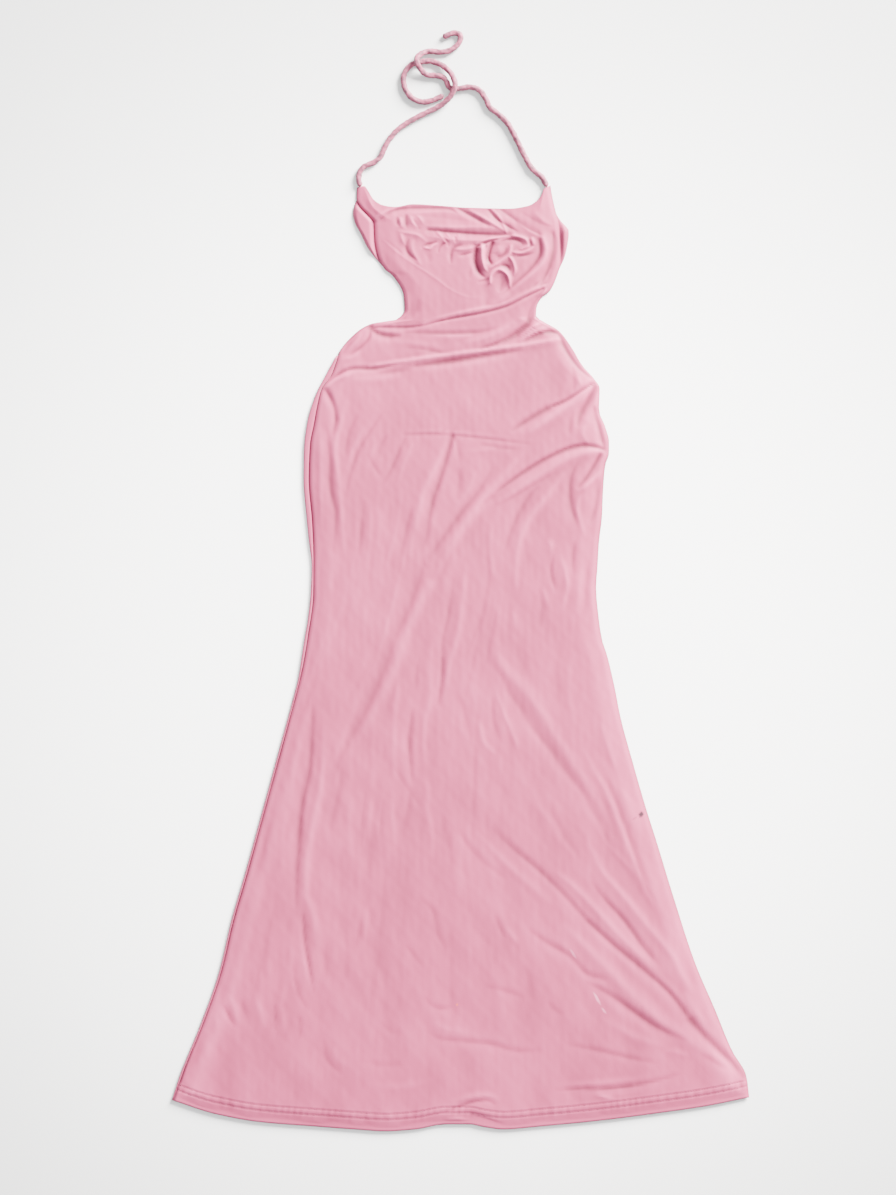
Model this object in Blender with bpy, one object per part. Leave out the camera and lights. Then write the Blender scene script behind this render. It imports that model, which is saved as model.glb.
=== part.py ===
"""Halter-neck maxi dress in slinky jersey, laid flat with its front up.

The dress lies on the plane z = 0 with its hem towards -Y and its neck ties towards +Y. The back
skirt and the back band lie on the surface, and the front lies on them. Tables are in millimetres,
measured from the middle of the dress, and the model is in metres.
"""

from collections import namedtuple
import math

import bmesh
import bpy
from mathutils import Vector

MM = 0.001

# Driving sizes, in millimetres
CLOTH = 1.5
HEM_CLOTH = 2.4
HEM_DEPTH = 23.0
HEM_STEP = 4.0
FRONT_HEM_DEPTH = HEM_DEPTH + HEM_STEP
SEAM_GAP = 0.3
LAYER = CLOTH + SEAM_GAP
HEM_LAYER = HEM_CLOTH + SEAM_GAP
EDGE_ROLL = 2.4
LEAST_SEAM_INSET = 1.6
BACK_RIGHT_INSET = 4.0
TIE_WIDTH = 7.0
TIE_SPACING = 9.0
TIE_SIDES = 3

# Where a layer beneath ends, the front stays lifted this far past it and has settled this far on
LIFT_PAST_EDGE = 12.0
LIFT_SETTLED = 32.0

# Levels at which the rows stop following the neckline and start following the hem
NECK_LEVEL = 600.0
NECK_ROWS_END = 520.0
HEM_ROWS_START = -420.0
HEM_LEVEL = -600.0
BACK_TOP_LEVEL = 300.0
BACK_TOP_ROWS_END = 200.0
BACK_TOP_ROWS = 18

Edge = namedtuple("Edge", "y x")
Along = namedtuple("Along", "x y")
Fold = namedtuple("Fold", "x1 y1 x2 y2 x3 y3 height half_width")
Route = namedtuple("Route", "x y rise")

# Left edge of the front, which is its side seam, from the strap to the flare of the skirt
FRONT_LEFT = [
    Edge(611.6, -134.8), Edge(597, -135.4), Edge(587, -131), Edge(576, -120.5), Edge(566, -112.8),
    Edge(544, -111.8), Edge(523, -108), Edge(505, -98), Edge(497, -88), Edge(471, -74),
    Edge(452, -73), Edge(440, -84), Edge(435, -115.5), Edge(423, -136), Edge(397, -158),
    Edge(388, -161), Edge(367, -168.5), Edge(351, -180.5), Edge(325, -187), Edge(305, -190.5),
    Edge(276, -196), Edge(232, -197.5), Edge(176, -193), Edge(128, -191.4), Edge(82, -191.8),
    Edge(34, -198), Edge(-8, -205), Edge(-68, -220), Edge(-210, -259), Edge(-276, -277),
    Edge(-343, -296.5), Edge(-409, -312.5), Edge(-475, -335.8), Edge(-542, -363), Edge(-574, -373.5),
]

# Left edge of the back skirt, whose cloth is rolled over the side and shows beside the seam
BACK_LEFT = [
    Edge(393, -161.5), Edge(368, -175), Edge(340, -189), Edge(305, -199.5), Edge(270, -203.5),
    Edge(232, -204), Edge(192, -201), Edge(152, -197), Edge(121, -193.5), Edge(90, -194.4),
    Edge(50, -198.5), Edge(24, -203), Edge(-37, -213), Edge(-68, -221.7), Edge(-210, -260.7),
    Edge(-276, -279), Edge(-343, -298.4), Edge(-409, -314), Edge(-475, -337.4), Edge(-542, -364.7),
    Edge(-574, -375),
]

# Right edge of the front, which is the outline of the dress below the back band
FRONT_RIGHT = [
    Edge(614.6, 117), Edge(607, 118), Edge(581, 123.6), Edge(565, 128), Edge(554, 128.7),
    Edge(515, 130), Edge(496, 125), Edge(477.5, 116.4), Edge(467.7, 104.7), Edge(455.4, 98.8),
    Edge(443.7, 98.2), Edge(437.8, 107.3), Edge(425.5, 128), Edge(403, 145), Edge(381, 158),
    Edge(363, 173.6), Edge(351, 180.8), Edge(323, 180), Edge(301, 188), Edge(281, 193),
    Edge(267, 193), Edge(250, 188), Edge(217, 185.3), Edge(185, 184), Edge(151, 180),
    Edge(117, 178), Edge(93, 176.2), Edge(60, 178.8), Edge(24, 184), Edge(4, 190.5),
    Edge(-41, 201), Edge(-74, 207.4), Edge(-132, 223), Edge(-195, 241.2), Edge(-236, 254.2),
    Edge(-317, 279), Edge(-396, 305), Edge(-457, 331), Edge(-510, 353), Edge(-542, 371.2),
    Edge(-570, 375),
]

# Top edge of the front, from the left strap round the neckline to the right strap
NECKLINE = [
    Along(-134.8, 611.6), Along(-125.4, 613.4), Along(-119.6, 606.8), Along(-113.8, 597),
    Along(-100.8, 588.5), Along(-85.2, 586.3), Along(-61.8, 589.9), Along(-26.7, 588),
    Along(7.2, 585.4), Along(63, 584.1), Along(86.5, 587.3), Along(102.1, 597.1),
    Along(106.6, 605.5), Along(108, 609.7), Along(117, 614.6),
]

# Low top edge of the back skirt, from side seam to side seam
BACK_TOP = [
    Along(-159, 393), Along(-141, 342), Along(-105, 305), Along(-71, 292), Along(0, 288),
    Along(84, 281), Along(129, 297), Along(156, 328), Along(170, 352),
]

# Hem, from the left side seam to the right
HEM = [
    Along(-375, -574), Along(-317, -592.4), Along(-258, -602.8), Along(-192, -608),
    Along(-138.5, -612), Along(-98, -614.5), Along(-59, -612), Along(-19, -605.4),
    Along(11, -605.4), Along(32, -609.3), Along(55, -612), Along(106, -608), Along(185, -600.2),
    Along(265, -589.8), Along(318, -582), Along(375, -570.3),
]

# Top and bottom edges of the band across the back, at bust height
BAND_TOP = [Along(-137.2, 583), Along(-60, 573), Along(40, 563), Along(142, 558)]
BAND_BOTTOM = [Along(-99, 505), Along(-40, 491), Along(50, 482), Along(116.4, 479)]
BAND_LEFT_BOW = 7.0
BAND_RIGHT_BOW = 5.0

# Main folds of the front: three points along each crest, its height and half its width
FOLDS = [
    # Cowl and gathers over the bust
    Fold(-110, 574, -40, 581, 58, 556, 4.5, 9),
    Fold(45, 578, 80, 566, 112, 553, 3.5, 8),
    Fold(-60, 538, -15, 533, 20, 541, 4.0, 8),
    Fold(22, 536, 28, 510, 44, 493, 5.5, 6),
    Fold(44, 526, 66, 534, 84, 541, 5.0, 7),
    Fold(102, 548, 96, 500, 52, 468, 6.0, 10),
    Fold(-68, 540, -72, 520, -62, 506, 3.0, 8),
    # Drag lines across the waist, from the right side opening
    Fold(104, 479, 0, 448, -92, 434, 5.0, 8),
    Fold(120, 424, -10, 396, -165, 372, 7.0, 9),
    Fold(126, 400, 60, 380, 10, 372, 3.0, 10),
    # Drag lines across the hip
    Fold(174, 361, 120, 337, 66, 300, 6.5, 9),
    Fold(165, 330, 152, 300, 140, 262, 4.0, 10),
    Fold(184, 281, 110, 262, 42, 219, 5.5, 9),
    # Long soft folds of the skirt
    Fold(2, 268, -58, 96, -118, -80, 4.0, 26),
    Fold(-168, 270, -176, 200, -172, 120, 3.0, 10),
    Fold(150, 232, 140, 130, 156, 20, 3.5, 14),
    Fold(62, 200, 36, 60, -6, -100, 3.0, 22),
    Fold(-190, -60, -208, -230, -196, -400, 4.0, 20),
    Fold(-60, -70, -72, -190, -66, -300, 3.0, 18),
    # Diagonals that run to the right hem corner
    Fold(58, -30, 116, -130, 178, -214, 4.5, 16),
    Fold(186, -310, 258, -400, 358, -524, 6.0, 15),
    Fold(94, -350, 176, -430, 262, -540, 5.0, 16),
    Fold(-20, -330, 60, -420, 96, -520, 3.0, 20),
    # Puckers that lift the hem
    Fold(4, -560, 6, -585, 6, -610, 6.0, 22),
    Fold(150, -560, 160, -580, 164, -604, 3.0, 20),
    Fold(-240, -540, -250, -570, -254, -604, 3.0, 22),
]

# Left tie, from the strap to its end inside the loop
LEFT_TIE = [
    Route(-130.1, 612.9, 0), Route(-132.2, 622, 0), Route(-131, 631, 0), Route(-124.9, 639, 0),
    Route(-113.8, 643.6, 0), Route(-104.7, 650.4, 0), Route(-100.2, 659.2, 0),
    Route(-93.5, 672.5, 0), Route(-80, 688, 0), Route(-62.1, 699.8, 0), Route(-44.3, 708.9, 0),
    Route(-26.7, 717.5, 1), Route(-13.5, 728.6, 5), Route(-7.3, 742, 7.8), Route(-8.4, 750, 6.6),
    Route(-11.6, 757.6, 4.6), Route(-17.2, 764.3, 3), Route(-21.7, 768.4, 1.4),
    Route(-30, 773.2, 0), Route(-38.4, 775.6, 0), Route(-46.7, 775.6, 0), Route(-54.9, 773.9, 0),
    Route(-63.2, 771.4, 0), Route(-69.8, 765.4, 0), Route(-73.6, 757.1, 0),
    Route(-74, 748, 0), Route(-71.5, 739, 0), Route(-65.6, 730.3, 0), Route(-58, 725, 0),
    Route(-50, 722.8, 0), Route(-40, 723.8, 0), Route(-30, 727.5, 0), Route(-22, 731.5, 0),
]

# Right tie, from the strap to its free end above the loop
RIGHT_TIE = [
    Route(112.3, 612.7, 0), Route(106, 624.5, 0), Route(93, 636, 0), Route(83.3, 652.4, 0),
    Route(72.2, 675, 0), Route(61, 695, 0), Route(49.8, 706.3, 0), Route(38.4, 715.4, 0),
    Route(32.9, 726.4, 0), Route(25, 737.5, 0), Route(13.7, 742, 0), Route(2.7, 740.9, 0),
    Route(-7.5, 739.5, 0), Route(-15, 742.5, 0), Route(-18.2, 749.5, 0), Route(-23, 754.8, 0),
    Route(-32.5, 757, 0), Route(-42, 757.5, 0), Route(-50, 762.5, 2.6), Route(-55, 769.5, 6.8),
    Route(-57, 775.8, 7.6), Route(-55, 781, 6), Route(-49.9, 785.5, 3), Route(-43.3, 788.3, 0),
    Route(-35.9, 788.3, 0), Route(-27.6, 787.6, 0), Route(-18.5, 788.3, 0),
    Route(-10.1, 791.7, 0), Route(-3.5, 797.4, 0), Route(0, 804, 0), Route(-1, 809.9, 0),
    Route(-5.2, 812.3, 0), Route(-11.8, 811.6, 0), Route(-23, 807, 0),
]


def slopes_of(keys, values):
    """Slope at each key of a smooth curve that never overshoots its values."""
    steps = [(b - a) / (k - h) for a, b, h, k in zip(values, values[1:], keys, keys[1:])]
    slopes = [steps[0]]
    for before, after in zip(steps, steps[1:]):
        same_way = before * after > 0
        slopes.append(2 * before * after / (before + after) if same_way else 0.0)
    slopes.append(steps[-1])
    return slopes


def read_curve(keys, values, at):
    """Value of the smooth curve through a table whose keys rise."""
    if at <= keys[0]:
        return values[0]
    if at >= keys[-1]:
        return values[-1]
    slopes = slopes_of(keys, values)
    i = max(n for n, key in enumerate(keys[:-1]) if key <= at)
    span = keys[i + 1] - keys[i]
    t = (at - keys[i]) / span
    start = (1 + 2 * t) * (1 - t) ** 2 * values[i]
    end = t * t * (3 - 2 * t) * values[i + 1]
    start_slope = t * (1 - t) ** 2 * span * slopes[i]
    end_slope = t * t * (t - 1) * span * slopes[i + 1]
    return start + end + start_slope + end_slope


def edge_x(table, y):
    """Place across of a side edge at a distance up the dress."""
    return read_curve([-row.y for row in table], [row.x for row in table], -y)


def edge_y(table, x):
    """Place up the dress of a neckline, top edge or hem at a place across it."""
    return read_curve([row.x for row in table], [row.y for row in table], x)


def smooth_step(t):
    """Soft change from 0 to 1."""
    t = min(max(t, 0.0), 1.0)
    return t * t * (3 - 2 * t)


def crest_points(fold, count=10):
    """Points along a fold's crest, on a curve through its three points."""
    bend_x = 2 * fold.x2 - (fold.x1 + fold.x3) / 2
    bend_y = 2 * fold.y2 - (fold.y1 + fold.y3) / 2
    points = []
    for i in range(count + 1):
        t = i / count
        x = (1 - t) ** 2 * fold.x1 + 2 * t * (1 - t) * bend_x + t * t * fold.x3
        y = (1 - t) ** 2 * fold.y1 + 2 * t * (1 - t) * bend_y + t * t * fold.y3
        points.append((x, y))
    return points


CRESTS = [(fold, crest_points(fold)) for fold in FOLDS]


def fold_height(x, y):
    """Height of the folds at a place on the front, each tapering to both its ends."""
    height = 0.0
    for fold, crest in CRESTS:
        nearest = None
        for i, ((ax, ay), (bx, by)) in enumerate(zip(crest, crest[1:])):
            run = (bx - ax) ** 2 + (by - ay) ** 2
            t = min(max(((x - ax) * (bx - ax) + (y - ay) * (by - ay)) / run, 0.0), 1.0)
            away = math.hypot(x - ax - t * (bx - ax), y - ay - t * (by - ay))
            if nearest is None or away < nearest[0]:
                nearest = (away, (i + t) / (len(crest) - 1))
        away, along = nearest
        if away < 3 * fold.half_width:
            taper = math.sin(math.pi * (0.12 + 0.76 * along))
            height = max(height, fold.height * taper * math.exp(-(away / fold.half_width) ** 2))
    return height


def lift_over(outside):
    """Height at which the front passes a layer beneath, by the distance outside its edge."""
    settled = (outside - LIFT_PAST_EDGE) / (LIFT_SETTLED - LIFT_PAST_EDGE)
    return LAYER * (1 - smooth_step(settled))


def skirt_lift(x, y):
    """Lift of the front where it passes over the back skirt."""
    return lift_over(y - edge_y(BACK_TOP, x))


def front_lift(x, y):
    """Height of the front's underside where it lies without a fold."""
    over_band = lift_over(max(y - edge_y(BAND_TOP, x), edge_y(BAND_BOTTOM, x) - y))
    return max(skirt_lift(x, y), over_band)


def hem_share(height, depth):
    """How much of the turned hem's extra thickness lies at a height above the hem."""
    return min(max((depth - height) / HEM_STEP, 0.0), 1.0)


def split_spans(keys, longest):
    """The same rising keys with more put in, so that no span is longer than this."""
    result = [keys[0]]
    for low, high in zip(keys, keys[1:]):
        parts = math.ceil((high - low) / longest)
        result += [low + (high - low) * n / parts for n in range(1, parts + 1)]
    return result


def row_levels(plan):
    """Levels from the top down, from (start, end, number of rows) stretches."""
    levels = [plan[0][0]]
    for start, end, rows in plan:
        levels += [start + (end - start) * n / rows for n in range(1, rows + 1)]
    return levels


def arc_shares(table):
    """Share of a top edge's length at each of its points."""
    lengths = [0.0]
    for a, b in zip(table, table[1:]):
        lengths.append(lengths[-1] + math.hypot(b.x - a.x, b.y - a.y))
    return [length / lengths[-1] for length in lengths]


def straight_read(keys, values, at):
    """Value of a table between its rows, without rounding."""
    for low, high, a, b in zip(keys, keys[1:], values, values[1:]):
        if at <= high:
            return a + (b - a) * (at - low) / (high - low)
    return values[-1]


def panel_rows(top, levels, top_level, top_end, left_x, right_x, shares):
    """Rows of (x, y) places over a panel, from its top edge to the hem."""
    keys = arc_shares(top)
    top_xs = [straight_read(keys, [p.x for p in top], share) for share in shares]
    top_ys = [straight_read(keys, [p.y for p in top], share) for share in shares]
    top_shares = [(x - top_xs[0]) / (top_xs[-1] - top_xs[0]) for x in top_xs]
    rows = []
    for level in levels:
        near_top = min(max((level - top_end) / (top_level - top_end), 0.0), 1.0)
        near_hem = min(max((HEM_ROWS_START - level) / (HEM_ROWS_START - HEM_LEVEL), 0.0), 1.0)
        hem_ends = [near_hem * (edge_y(HEM, x) - HEM_LEVEL) for x in (HEM[0].x, HEM[-1].x)]
        left = left_x(level + near_top * (top_ys[0] - top_level) + hem_ends[0])
        right = right_x(level + near_top * (top_ys[-1] - top_level) + hem_ends[1])
        row = []
        for share, top_share, top_y in zip(shares, top_shares, top_ys):
            x = left + (right - left) * (share + near_top * (top_share - share))
            y = level + near_top * (top_y - top_level)
            y += near_hem * (edge_y(HEM, x * HEM[-1].x / right) - HEM_LEVEL)
            row.append((x, y))
        rows.append(row)
    return rows


def loft(name, sections, material, collection):
    """Skin a row of closed sections, each given as its upper and its lower points."""
    shape = bmesh.new()
    rings = []
    for upper, lower in sections:
        uppers = [shape.verts.new(Vector(point) * MM) for point in upper]
        lowers = [shape.verts.new(Vector(point) * MM) for point in lower]
        rings.append((uppers, lowers))
    last = len(rings[0][0]) - 1
    for (upper_a, lower_a), (upper_b, lower_b) in zip(rings, rings[1:]):
        for i in range(last):
            shape.faces.new((upper_a[i], upper_b[i], upper_b[i + 1], upper_a[i + 1]))
            shape.faces.new((lower_a[i], lower_a[i + 1], lower_b[i + 1], lower_b[i]))
        shape.faces.new((upper_a[0], lower_a[0], lower_b[0], upper_b[0]))
        shape.faces.new((upper_a[last], upper_b[last], lower_b[last], lower_a[last]))
    for i in range(last):
        upper, lower = rings[0]
        shape.faces.new((upper[i], upper[i + 1], lower[i + 1], lower[i]))
        upper, lower = rings[-1]
        shape.faces.new((upper[i], lower[i], lower[i + 1], upper[i + 1]))
    bmesh.ops.recalc_face_normals(shape, faces=shape.faces)
    mesh = bpy.data.meshes.new(name)
    shape.to_mesh(mesh)
    shape.free()
    mesh.materials.append(material)
    mesh.shade_smooth()
    mesh.set_sharp_from_angle(angle=math.radians(40))
    piece = bpy.data.objects.new(name, mesh)
    collection.objects.link(piece)
    return piece


def fabric(name, colour, roughness):
    """Principled cloth of one colour."""
    material = bpy.data.materials.new(name)
    material.use_nodes = True
    shader = material.node_tree.nodes["Principled BSDF"]
    shader.inputs["Base Color"].default_value = (*colour, 1.0)
    shader.inputs["Roughness"].default_value = roughness
    shader.inputs["Metallic"].default_value = 0.0
    return material


def make_front(collection):
    """The front, from the neckline to the turned hem, with its right edge rolled under."""
    shares = split_spans(arc_shares(NECKLINE), 0.045)
    levels = row_levels([
        (NECK_LEVEL, NECK_ROWS_END, 11),
        (NECK_ROWS_END, 444.0, 9),
        (444.0, 434.0, 3),
        (434.0, BACK_TOP[0].y, 4),
        (BACK_TOP[0].y, BACK_TOP_ROWS_END, BACK_TOP_ROWS),
        (BACK_TOP_ROWS_END, HEM_ROWS_START, 24),
        (HEM_ROWS_START, HEM_LEVEL + FRONT_HEM_DEPTH, 7),
        (HEM_LEVEL + FRONT_HEM_DEPTH, HEM_LEVEL + HEM_DEPTH, 1),
        (HEM_LEVEL + HEM_DEPTH, HEM_LEVEL + HEM_DEPTH - HEM_STEP, 1),
        (HEM_LEVEL + HEM_DEPTH - HEM_STEP, HEM_LEVEL, 2),
    ])
    rows = panel_rows(
        NECKLINE, levels, NECK_LEVEL, NECK_ROWS_END,
        lambda y: edge_x(FRONT_LEFT, y), lambda y: edge_x(FRONT_RIGHT, y), shares,
    )
    sections = []
    for row in rows:
        upper = []
        lower = []
        before, (right, right_y) = row[-2:]
        slope = (right_y - before[1]) / (right - before[0])
        inner_right = (right - EDGE_ROLL, right_y - slope * EDGE_ROLL)
        for x, y in row[:-1] + [inner_right]:
            in_hem = hem_share(y - edge_y(HEM, x), FRONT_HEM_DEPTH)
            below = front_lift(x, y) + fold_height(x, y) + in_hem * (HEM_LAYER - LAYER)
            above = below + CLOTH + in_hem * (HEM_CLOTH - CLOTH)
            lower.append((x, y, below))
            upper.append((x, y, above))
        upper.append((right, right_y, upper[-1][2] - 0.3 * CLOTH))
        roll = lower[-1][2] if skirt_lift(*inner_right) > 0 else 0.0
        roll_x = right - 0.6 * EDGE_ROLL
        lower.append((roll_x, right_y - slope * (right - roll_x), lower[-1][2] - roll))
        sections.append((upper, lower))
    return loft("dress_front", sections, fabric("front_jersey", (0.80, 0.40, 0.47), 0.6), collection)


def make_back_skirt(collection):
    """The back skirt, flat on the surface, with its rolled left edge beside the front's seam."""
    shares = split_spans([0.0, 1.0], 0.084)
    levels = row_levels([
        (BACK_TOP_LEVEL, BACK_TOP_ROWS_END, BACK_TOP_ROWS),
        (BACK_TOP_ROWS_END, HEM_ROWS_START, 24),
        (HEM_ROWS_START, HEM_LEVEL + FRONT_HEM_DEPTH, 7),
        (HEM_LEVEL + FRONT_HEM_DEPTH, HEM_LEVEL + HEM_DEPTH, 1),
        (HEM_LEVEL + HEM_DEPTH, HEM_LEVEL + HEM_DEPTH - HEM_STEP, 1),
        (HEM_LEVEL + HEM_DEPTH - HEM_STEP, HEM_LEVEL, 2),
    ])
    rows = panel_rows(
        BACK_TOP, levels, BACK_TOP_LEVEL, BACK_TOP_ROWS_END,
        lambda y: edge_x(FRONT_LEFT, y) - SEAM_GAP,
        lambda y: edge_x(FRONT_RIGHT, y) - BACK_RIGHT_INSET, shares,
    )
    sections = []
    for row in rows:
        seam_x, seam_y = row[0]
        inset = max(seam_x - edge_x(BACK_LEFT, seam_y), LEAST_SEAM_INSET - SEAM_GAP)
        in_hem = hem_share(seam_y - edge_y(HEM, seam_x), HEM_DEPTH)
        lowest = CLOTH + in_hem * (HEM_CLOTH - CLOTH)
        crown = lowest + SEAM_GAP + lowest
        upper = [
            (seam_x - inset, seam_y, 0.55 * crown),
            (seam_x - 0.7 * inset, seam_y, 0.92 * crown),
            (seam_x - 0.35 * inset, seam_y, crown),
            (seam_x - 0.2, seam_y, 0.96 * crown),
        ]
        lower = [
            (seam_x - 0.8 * inset, seam_y, 0.0),
            (seam_x - 0.55 * inset, seam_y, 0.0),
            (seam_x - 0.3 * inset, seam_y, 0.0),
            (seam_x - 0.1, seam_y, 0.0),
        ]
        for x, y in [(seam_x, seam_y)] + row[1:]:
            in_hem = hem_share(y - edge_y(HEM, x), HEM_DEPTH)
            upper.append((x, y, CLOTH + in_hem * (HEM_CLOTH - CLOTH)))
            lower.append((x, y, 0.0))
        sections.append((upper, lower))
    material = fabric("back_jersey", (0.76, 0.36, 0.43), 0.6)
    return loft("dress_back_skirt", sections, material, collection)


def make_back_band(collection):
    """The band across the back, flat on the surface, showing past both sides of the front."""
    columns = 14
    rows = 6
    sections = []
    for j in range(rows + 1):
        down = j / rows
        bow = math.sin(math.pi * down)
        upper = []
        lower = []
        for i in range(columns + 1):
            share = i / columns
            top_x = BAND_TOP[0].x + share * (BAND_TOP[-1].x - BAND_TOP[0].x)
            low_x = BAND_BOTTOM[0].x + share * (BAND_BOTTOM[-1].x - BAND_BOTTOM[0].x)
            x = top_x + down * (low_x - top_x)
            x += bow * (share * BAND_RIGHT_BOW - (1 - share) * BAND_LEFT_BOW)
            y = edge_y(BAND_TOP, top_x)
            y += down * (edge_y(BAND_BOTTOM, low_x) - y)
            upper.append((x, y, CLOTH))
            lower.append((x, y, 0.0))
        sections.append((upper, lower))
    return loft("back_band", sections, fabric("band_jersey", (0.72, 0.34, 0.41), 0.6), collection)


def smooth_route(route):
    """Points close together on the smooth curve through a tie's route."""
    ends = [route[0]] + route + [route[-1]]
    points = []
    for a, b, c, d in zip(ends, ends[1:], ends[2:], ends[3:]):
        for n in range(12):
            t = n / 12
            point = []
            for before, start, end, after in zip(a, b, c, d):
                turn = -before + 3 * start - 3 * end + after
                swing = 2 * before - 5 * start + 4 * end - after
                point.append(start + 0.5 * t * (end - before + t * (swing + t * turn)))
            points.append(Vector(point))
    points.append(Vector(route[-1]))
    return points


def even_points(points, spacing):
    """Points an equal distance apart along a path, near this spacing."""
    lengths = [0.0]
    for a, b in zip(points, points[1:]):
        lengths.append(lengths[-1] + (b - a).length)
    count = round(lengths[-1] / spacing)
    result = []
    for n in range(count + 1):
        want = lengths[-1] * n / count
        i = max(k for k, length in enumerate(lengths[:-1]) if length <= want)
        span = lengths[i + 1] - lengths[i]
        share = (want - lengths[i]) / span if span > 0 else 0.0
        result.append(points[i].lerp(points[i + 1], share))
    return result


def make_tie(name, route, material, collection):
    """A turned tube of jersey, lying on the surface and over the other tie where it crosses."""
    radius = TIE_WIDTH / 2
    path = even_points(smooth_route(route), TIE_SPACING)
    curve = bpy.data.curves.new(name, "CURVE")
    curve.dimensions = "3D"
    curve.bevel_depth = radius * MM
    curve.bevel_resolution = TIE_SIDES - 1
    curve.use_fill_caps = True
    spline = curve.splines.new("POLY")
    spline.points.add(len(path) - 1)
    for point, place in zip(spline.points, path):
        rise = max(place.z, 0.0)
        point.co = (place.x * MM, place.y * MM, (radius + rise) * MM, 1.0)
    curve.materials.append(material)
    tie = bpy.data.objects.new(name, curve)
    collection.objects.link(tie)
    return tie


def main():
    """Clear the file and build the dress."""
    for leftover in list(bpy.data.objects):
        bpy.data.objects.remove(leftover, do_unlink=True)
    dress = bpy.data.collections.new("halter_dress")
    bpy.context.scene.collection.children.link(dress)
    make_back_skirt(dress)
    make_back_band(dress)
    make_front(dress)
    tie_jersey = fabric("tie_jersey", (0.70, 0.36, 0.42), 0.65)
    make_tie("left_tie", LEFT_TIE, tie_jersey, dress)
    make_tie("right_tie", RIGHT_TIE, tie_jersey.copy(), dress)


main()
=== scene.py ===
"""Looks of the halter-neck maxi dress: pink slinky jersey laid flat on a pale floor.

The dress keeps the frame's own axes: +X to the right, +Y from the hem to the neck, +Z up. Tables
are in millimetres from the middle of the dress, as its pattern pieces are, and meshes in metres.
"""

from collections import namedtuple
import math

import bmesh
import bpy
import numpy as np
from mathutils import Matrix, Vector


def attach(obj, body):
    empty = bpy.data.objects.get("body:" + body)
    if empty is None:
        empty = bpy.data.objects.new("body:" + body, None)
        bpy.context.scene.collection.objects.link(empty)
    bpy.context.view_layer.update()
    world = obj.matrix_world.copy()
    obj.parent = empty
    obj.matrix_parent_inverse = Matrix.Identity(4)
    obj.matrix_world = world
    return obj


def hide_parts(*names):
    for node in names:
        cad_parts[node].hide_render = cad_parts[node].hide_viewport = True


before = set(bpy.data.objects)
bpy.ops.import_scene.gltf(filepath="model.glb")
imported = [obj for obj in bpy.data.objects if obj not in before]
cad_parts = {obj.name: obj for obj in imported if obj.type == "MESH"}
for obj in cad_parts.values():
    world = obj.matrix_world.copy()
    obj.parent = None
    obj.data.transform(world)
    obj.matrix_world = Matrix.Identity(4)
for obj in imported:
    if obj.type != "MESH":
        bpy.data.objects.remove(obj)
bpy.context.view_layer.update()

MM = 0.001

# Photograph's frame and its scale on the dress
PHOTO_HEIGHT_PX = 1195
MM_PER_PX = 1.3
VIEW_CENTRE_X = -16.25
VIEW_CENTRE_Y = 79.0
CAMERA_HEIGHT = 3600.0

# Cloth sizes
PLY = 1.0
LAYER = 1.5
HEM_DEPTH = 23.0
HEM_STITCH_ROWS = (15.5, 23.0)
PUFF = 2.4
PUFF_REACH = 26.0
MERGE = 6.0
ROLL = 1.2
ROLL_REACH = 3.5
BAND_PUFF = 3.6
DRAG_LINES = 60
HEM_RISE = 1.5
LOWER_STEP = 4
LEAST_PLY = 0.3
FRONT_COLUMNS = 185
SEAM_GAP = 0.3

# The knit's wales are about 0.7 mm apart; they are drawn twice as coarse, so that they show
RIB_PITCH = 1.5

# Front's surface: how it settles at its edges, and how far the neckline keeps its fullness
NECK_FULLNESS = 6.0
EDGE_SETTLE = 6.0
EDGE_DROP = 1.0
EDGE_DROP_REACH = 2.4
CALM_REACH = 10.0
SHALLOWEST = 0.4
TROUGH_SOFTENING = 0.8

# Puckers between the rows of hem stitches, and the groove that each row pulls in
HEM_SOFTENING = 5.0
PUCKER_HEIGHT = 0.28
PUCKER_PITCH = 9.5
PUCKER_LEVEL = 19.0
PUCKER_REACH = 7.0
PUCKER_DRIFT = 9.0
PUCKER_DRIFT_LENGTH = 31.0
GROOVE_DEPTH = 0.45
GROOVE_REACH = 1.3

# Hem stitches
STITCH_PITCH = 3.6
STITCH_LENGTH = 3.0
THREAD_RADIUS = 0.28
STITCH_END_INSET = 8
STITCH_SIDE_INSET = 3
STITCH_LIFT = 0.1
STITCH_ROW_POINTS = 400

# Back skirt: its grid, its inset at the right, and the roll at its left
BACK_COLUMNS = 64
BACK_RIGHT_INSET = 3.2
LEAST_ROLL_WIDTH = 1.4
ROLL_RADIUS = 1.05
LEAST_ROLL_TOP = 0.1
ROLL_ANGLES = (30, 60, 90, 120, 150, 180)

# Back band: its grid, its size for the puff's fade at its edges, and the puff past the front
BAND_ROWS = 45
BAND_COLUMNS = 165
BAND_WIDTH = 280
BAND_DEPTH = 90
BAND_EDGE_REACH = 6
BAND_PUFF_START = 0.8
BAND_PUFF_REACH = 5

# Neck ties
TIE_WIDTH = 7.2
TIE_THICKNESS = 5.8
TIE_SIDES = 20
TIE_RING_SPACING = 1.1
TIE_CLEARANCE = 0.1
TIE_CROSSING_SHARE = 0.92
TIE_SWELL = 0.03
TIE_SWELL_PERIODS = (23, 13, 7.5, 5.1)
TIE_CRINKLE = 0.16
TIE_SEAM_DEPTH = 0.42

# Seeded drag lines: limits of their tops, lengths, shares across, heights and reaches
DRAG_TOPS = (-400, 230)
DRAG_LENGTHS = (60, 230)
DRAG_SHARES = (0.06, 0.94)
DRAG_HEIGHTS = (0.35, 0.95)
DRAG_REACHES = (3.0, 9.0)

# Painted shade in the jersey's creases and painted highlight on its ridges, whose colour follows the
# relief: grid steps and strength of the fine and the broad part
FINE_STEPS = 3
FINE_SHADE_STRENGTH = 0.42
BROAD_STEPS = 9
BROAD_SHADE_STRENGTH = 0.12

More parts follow.
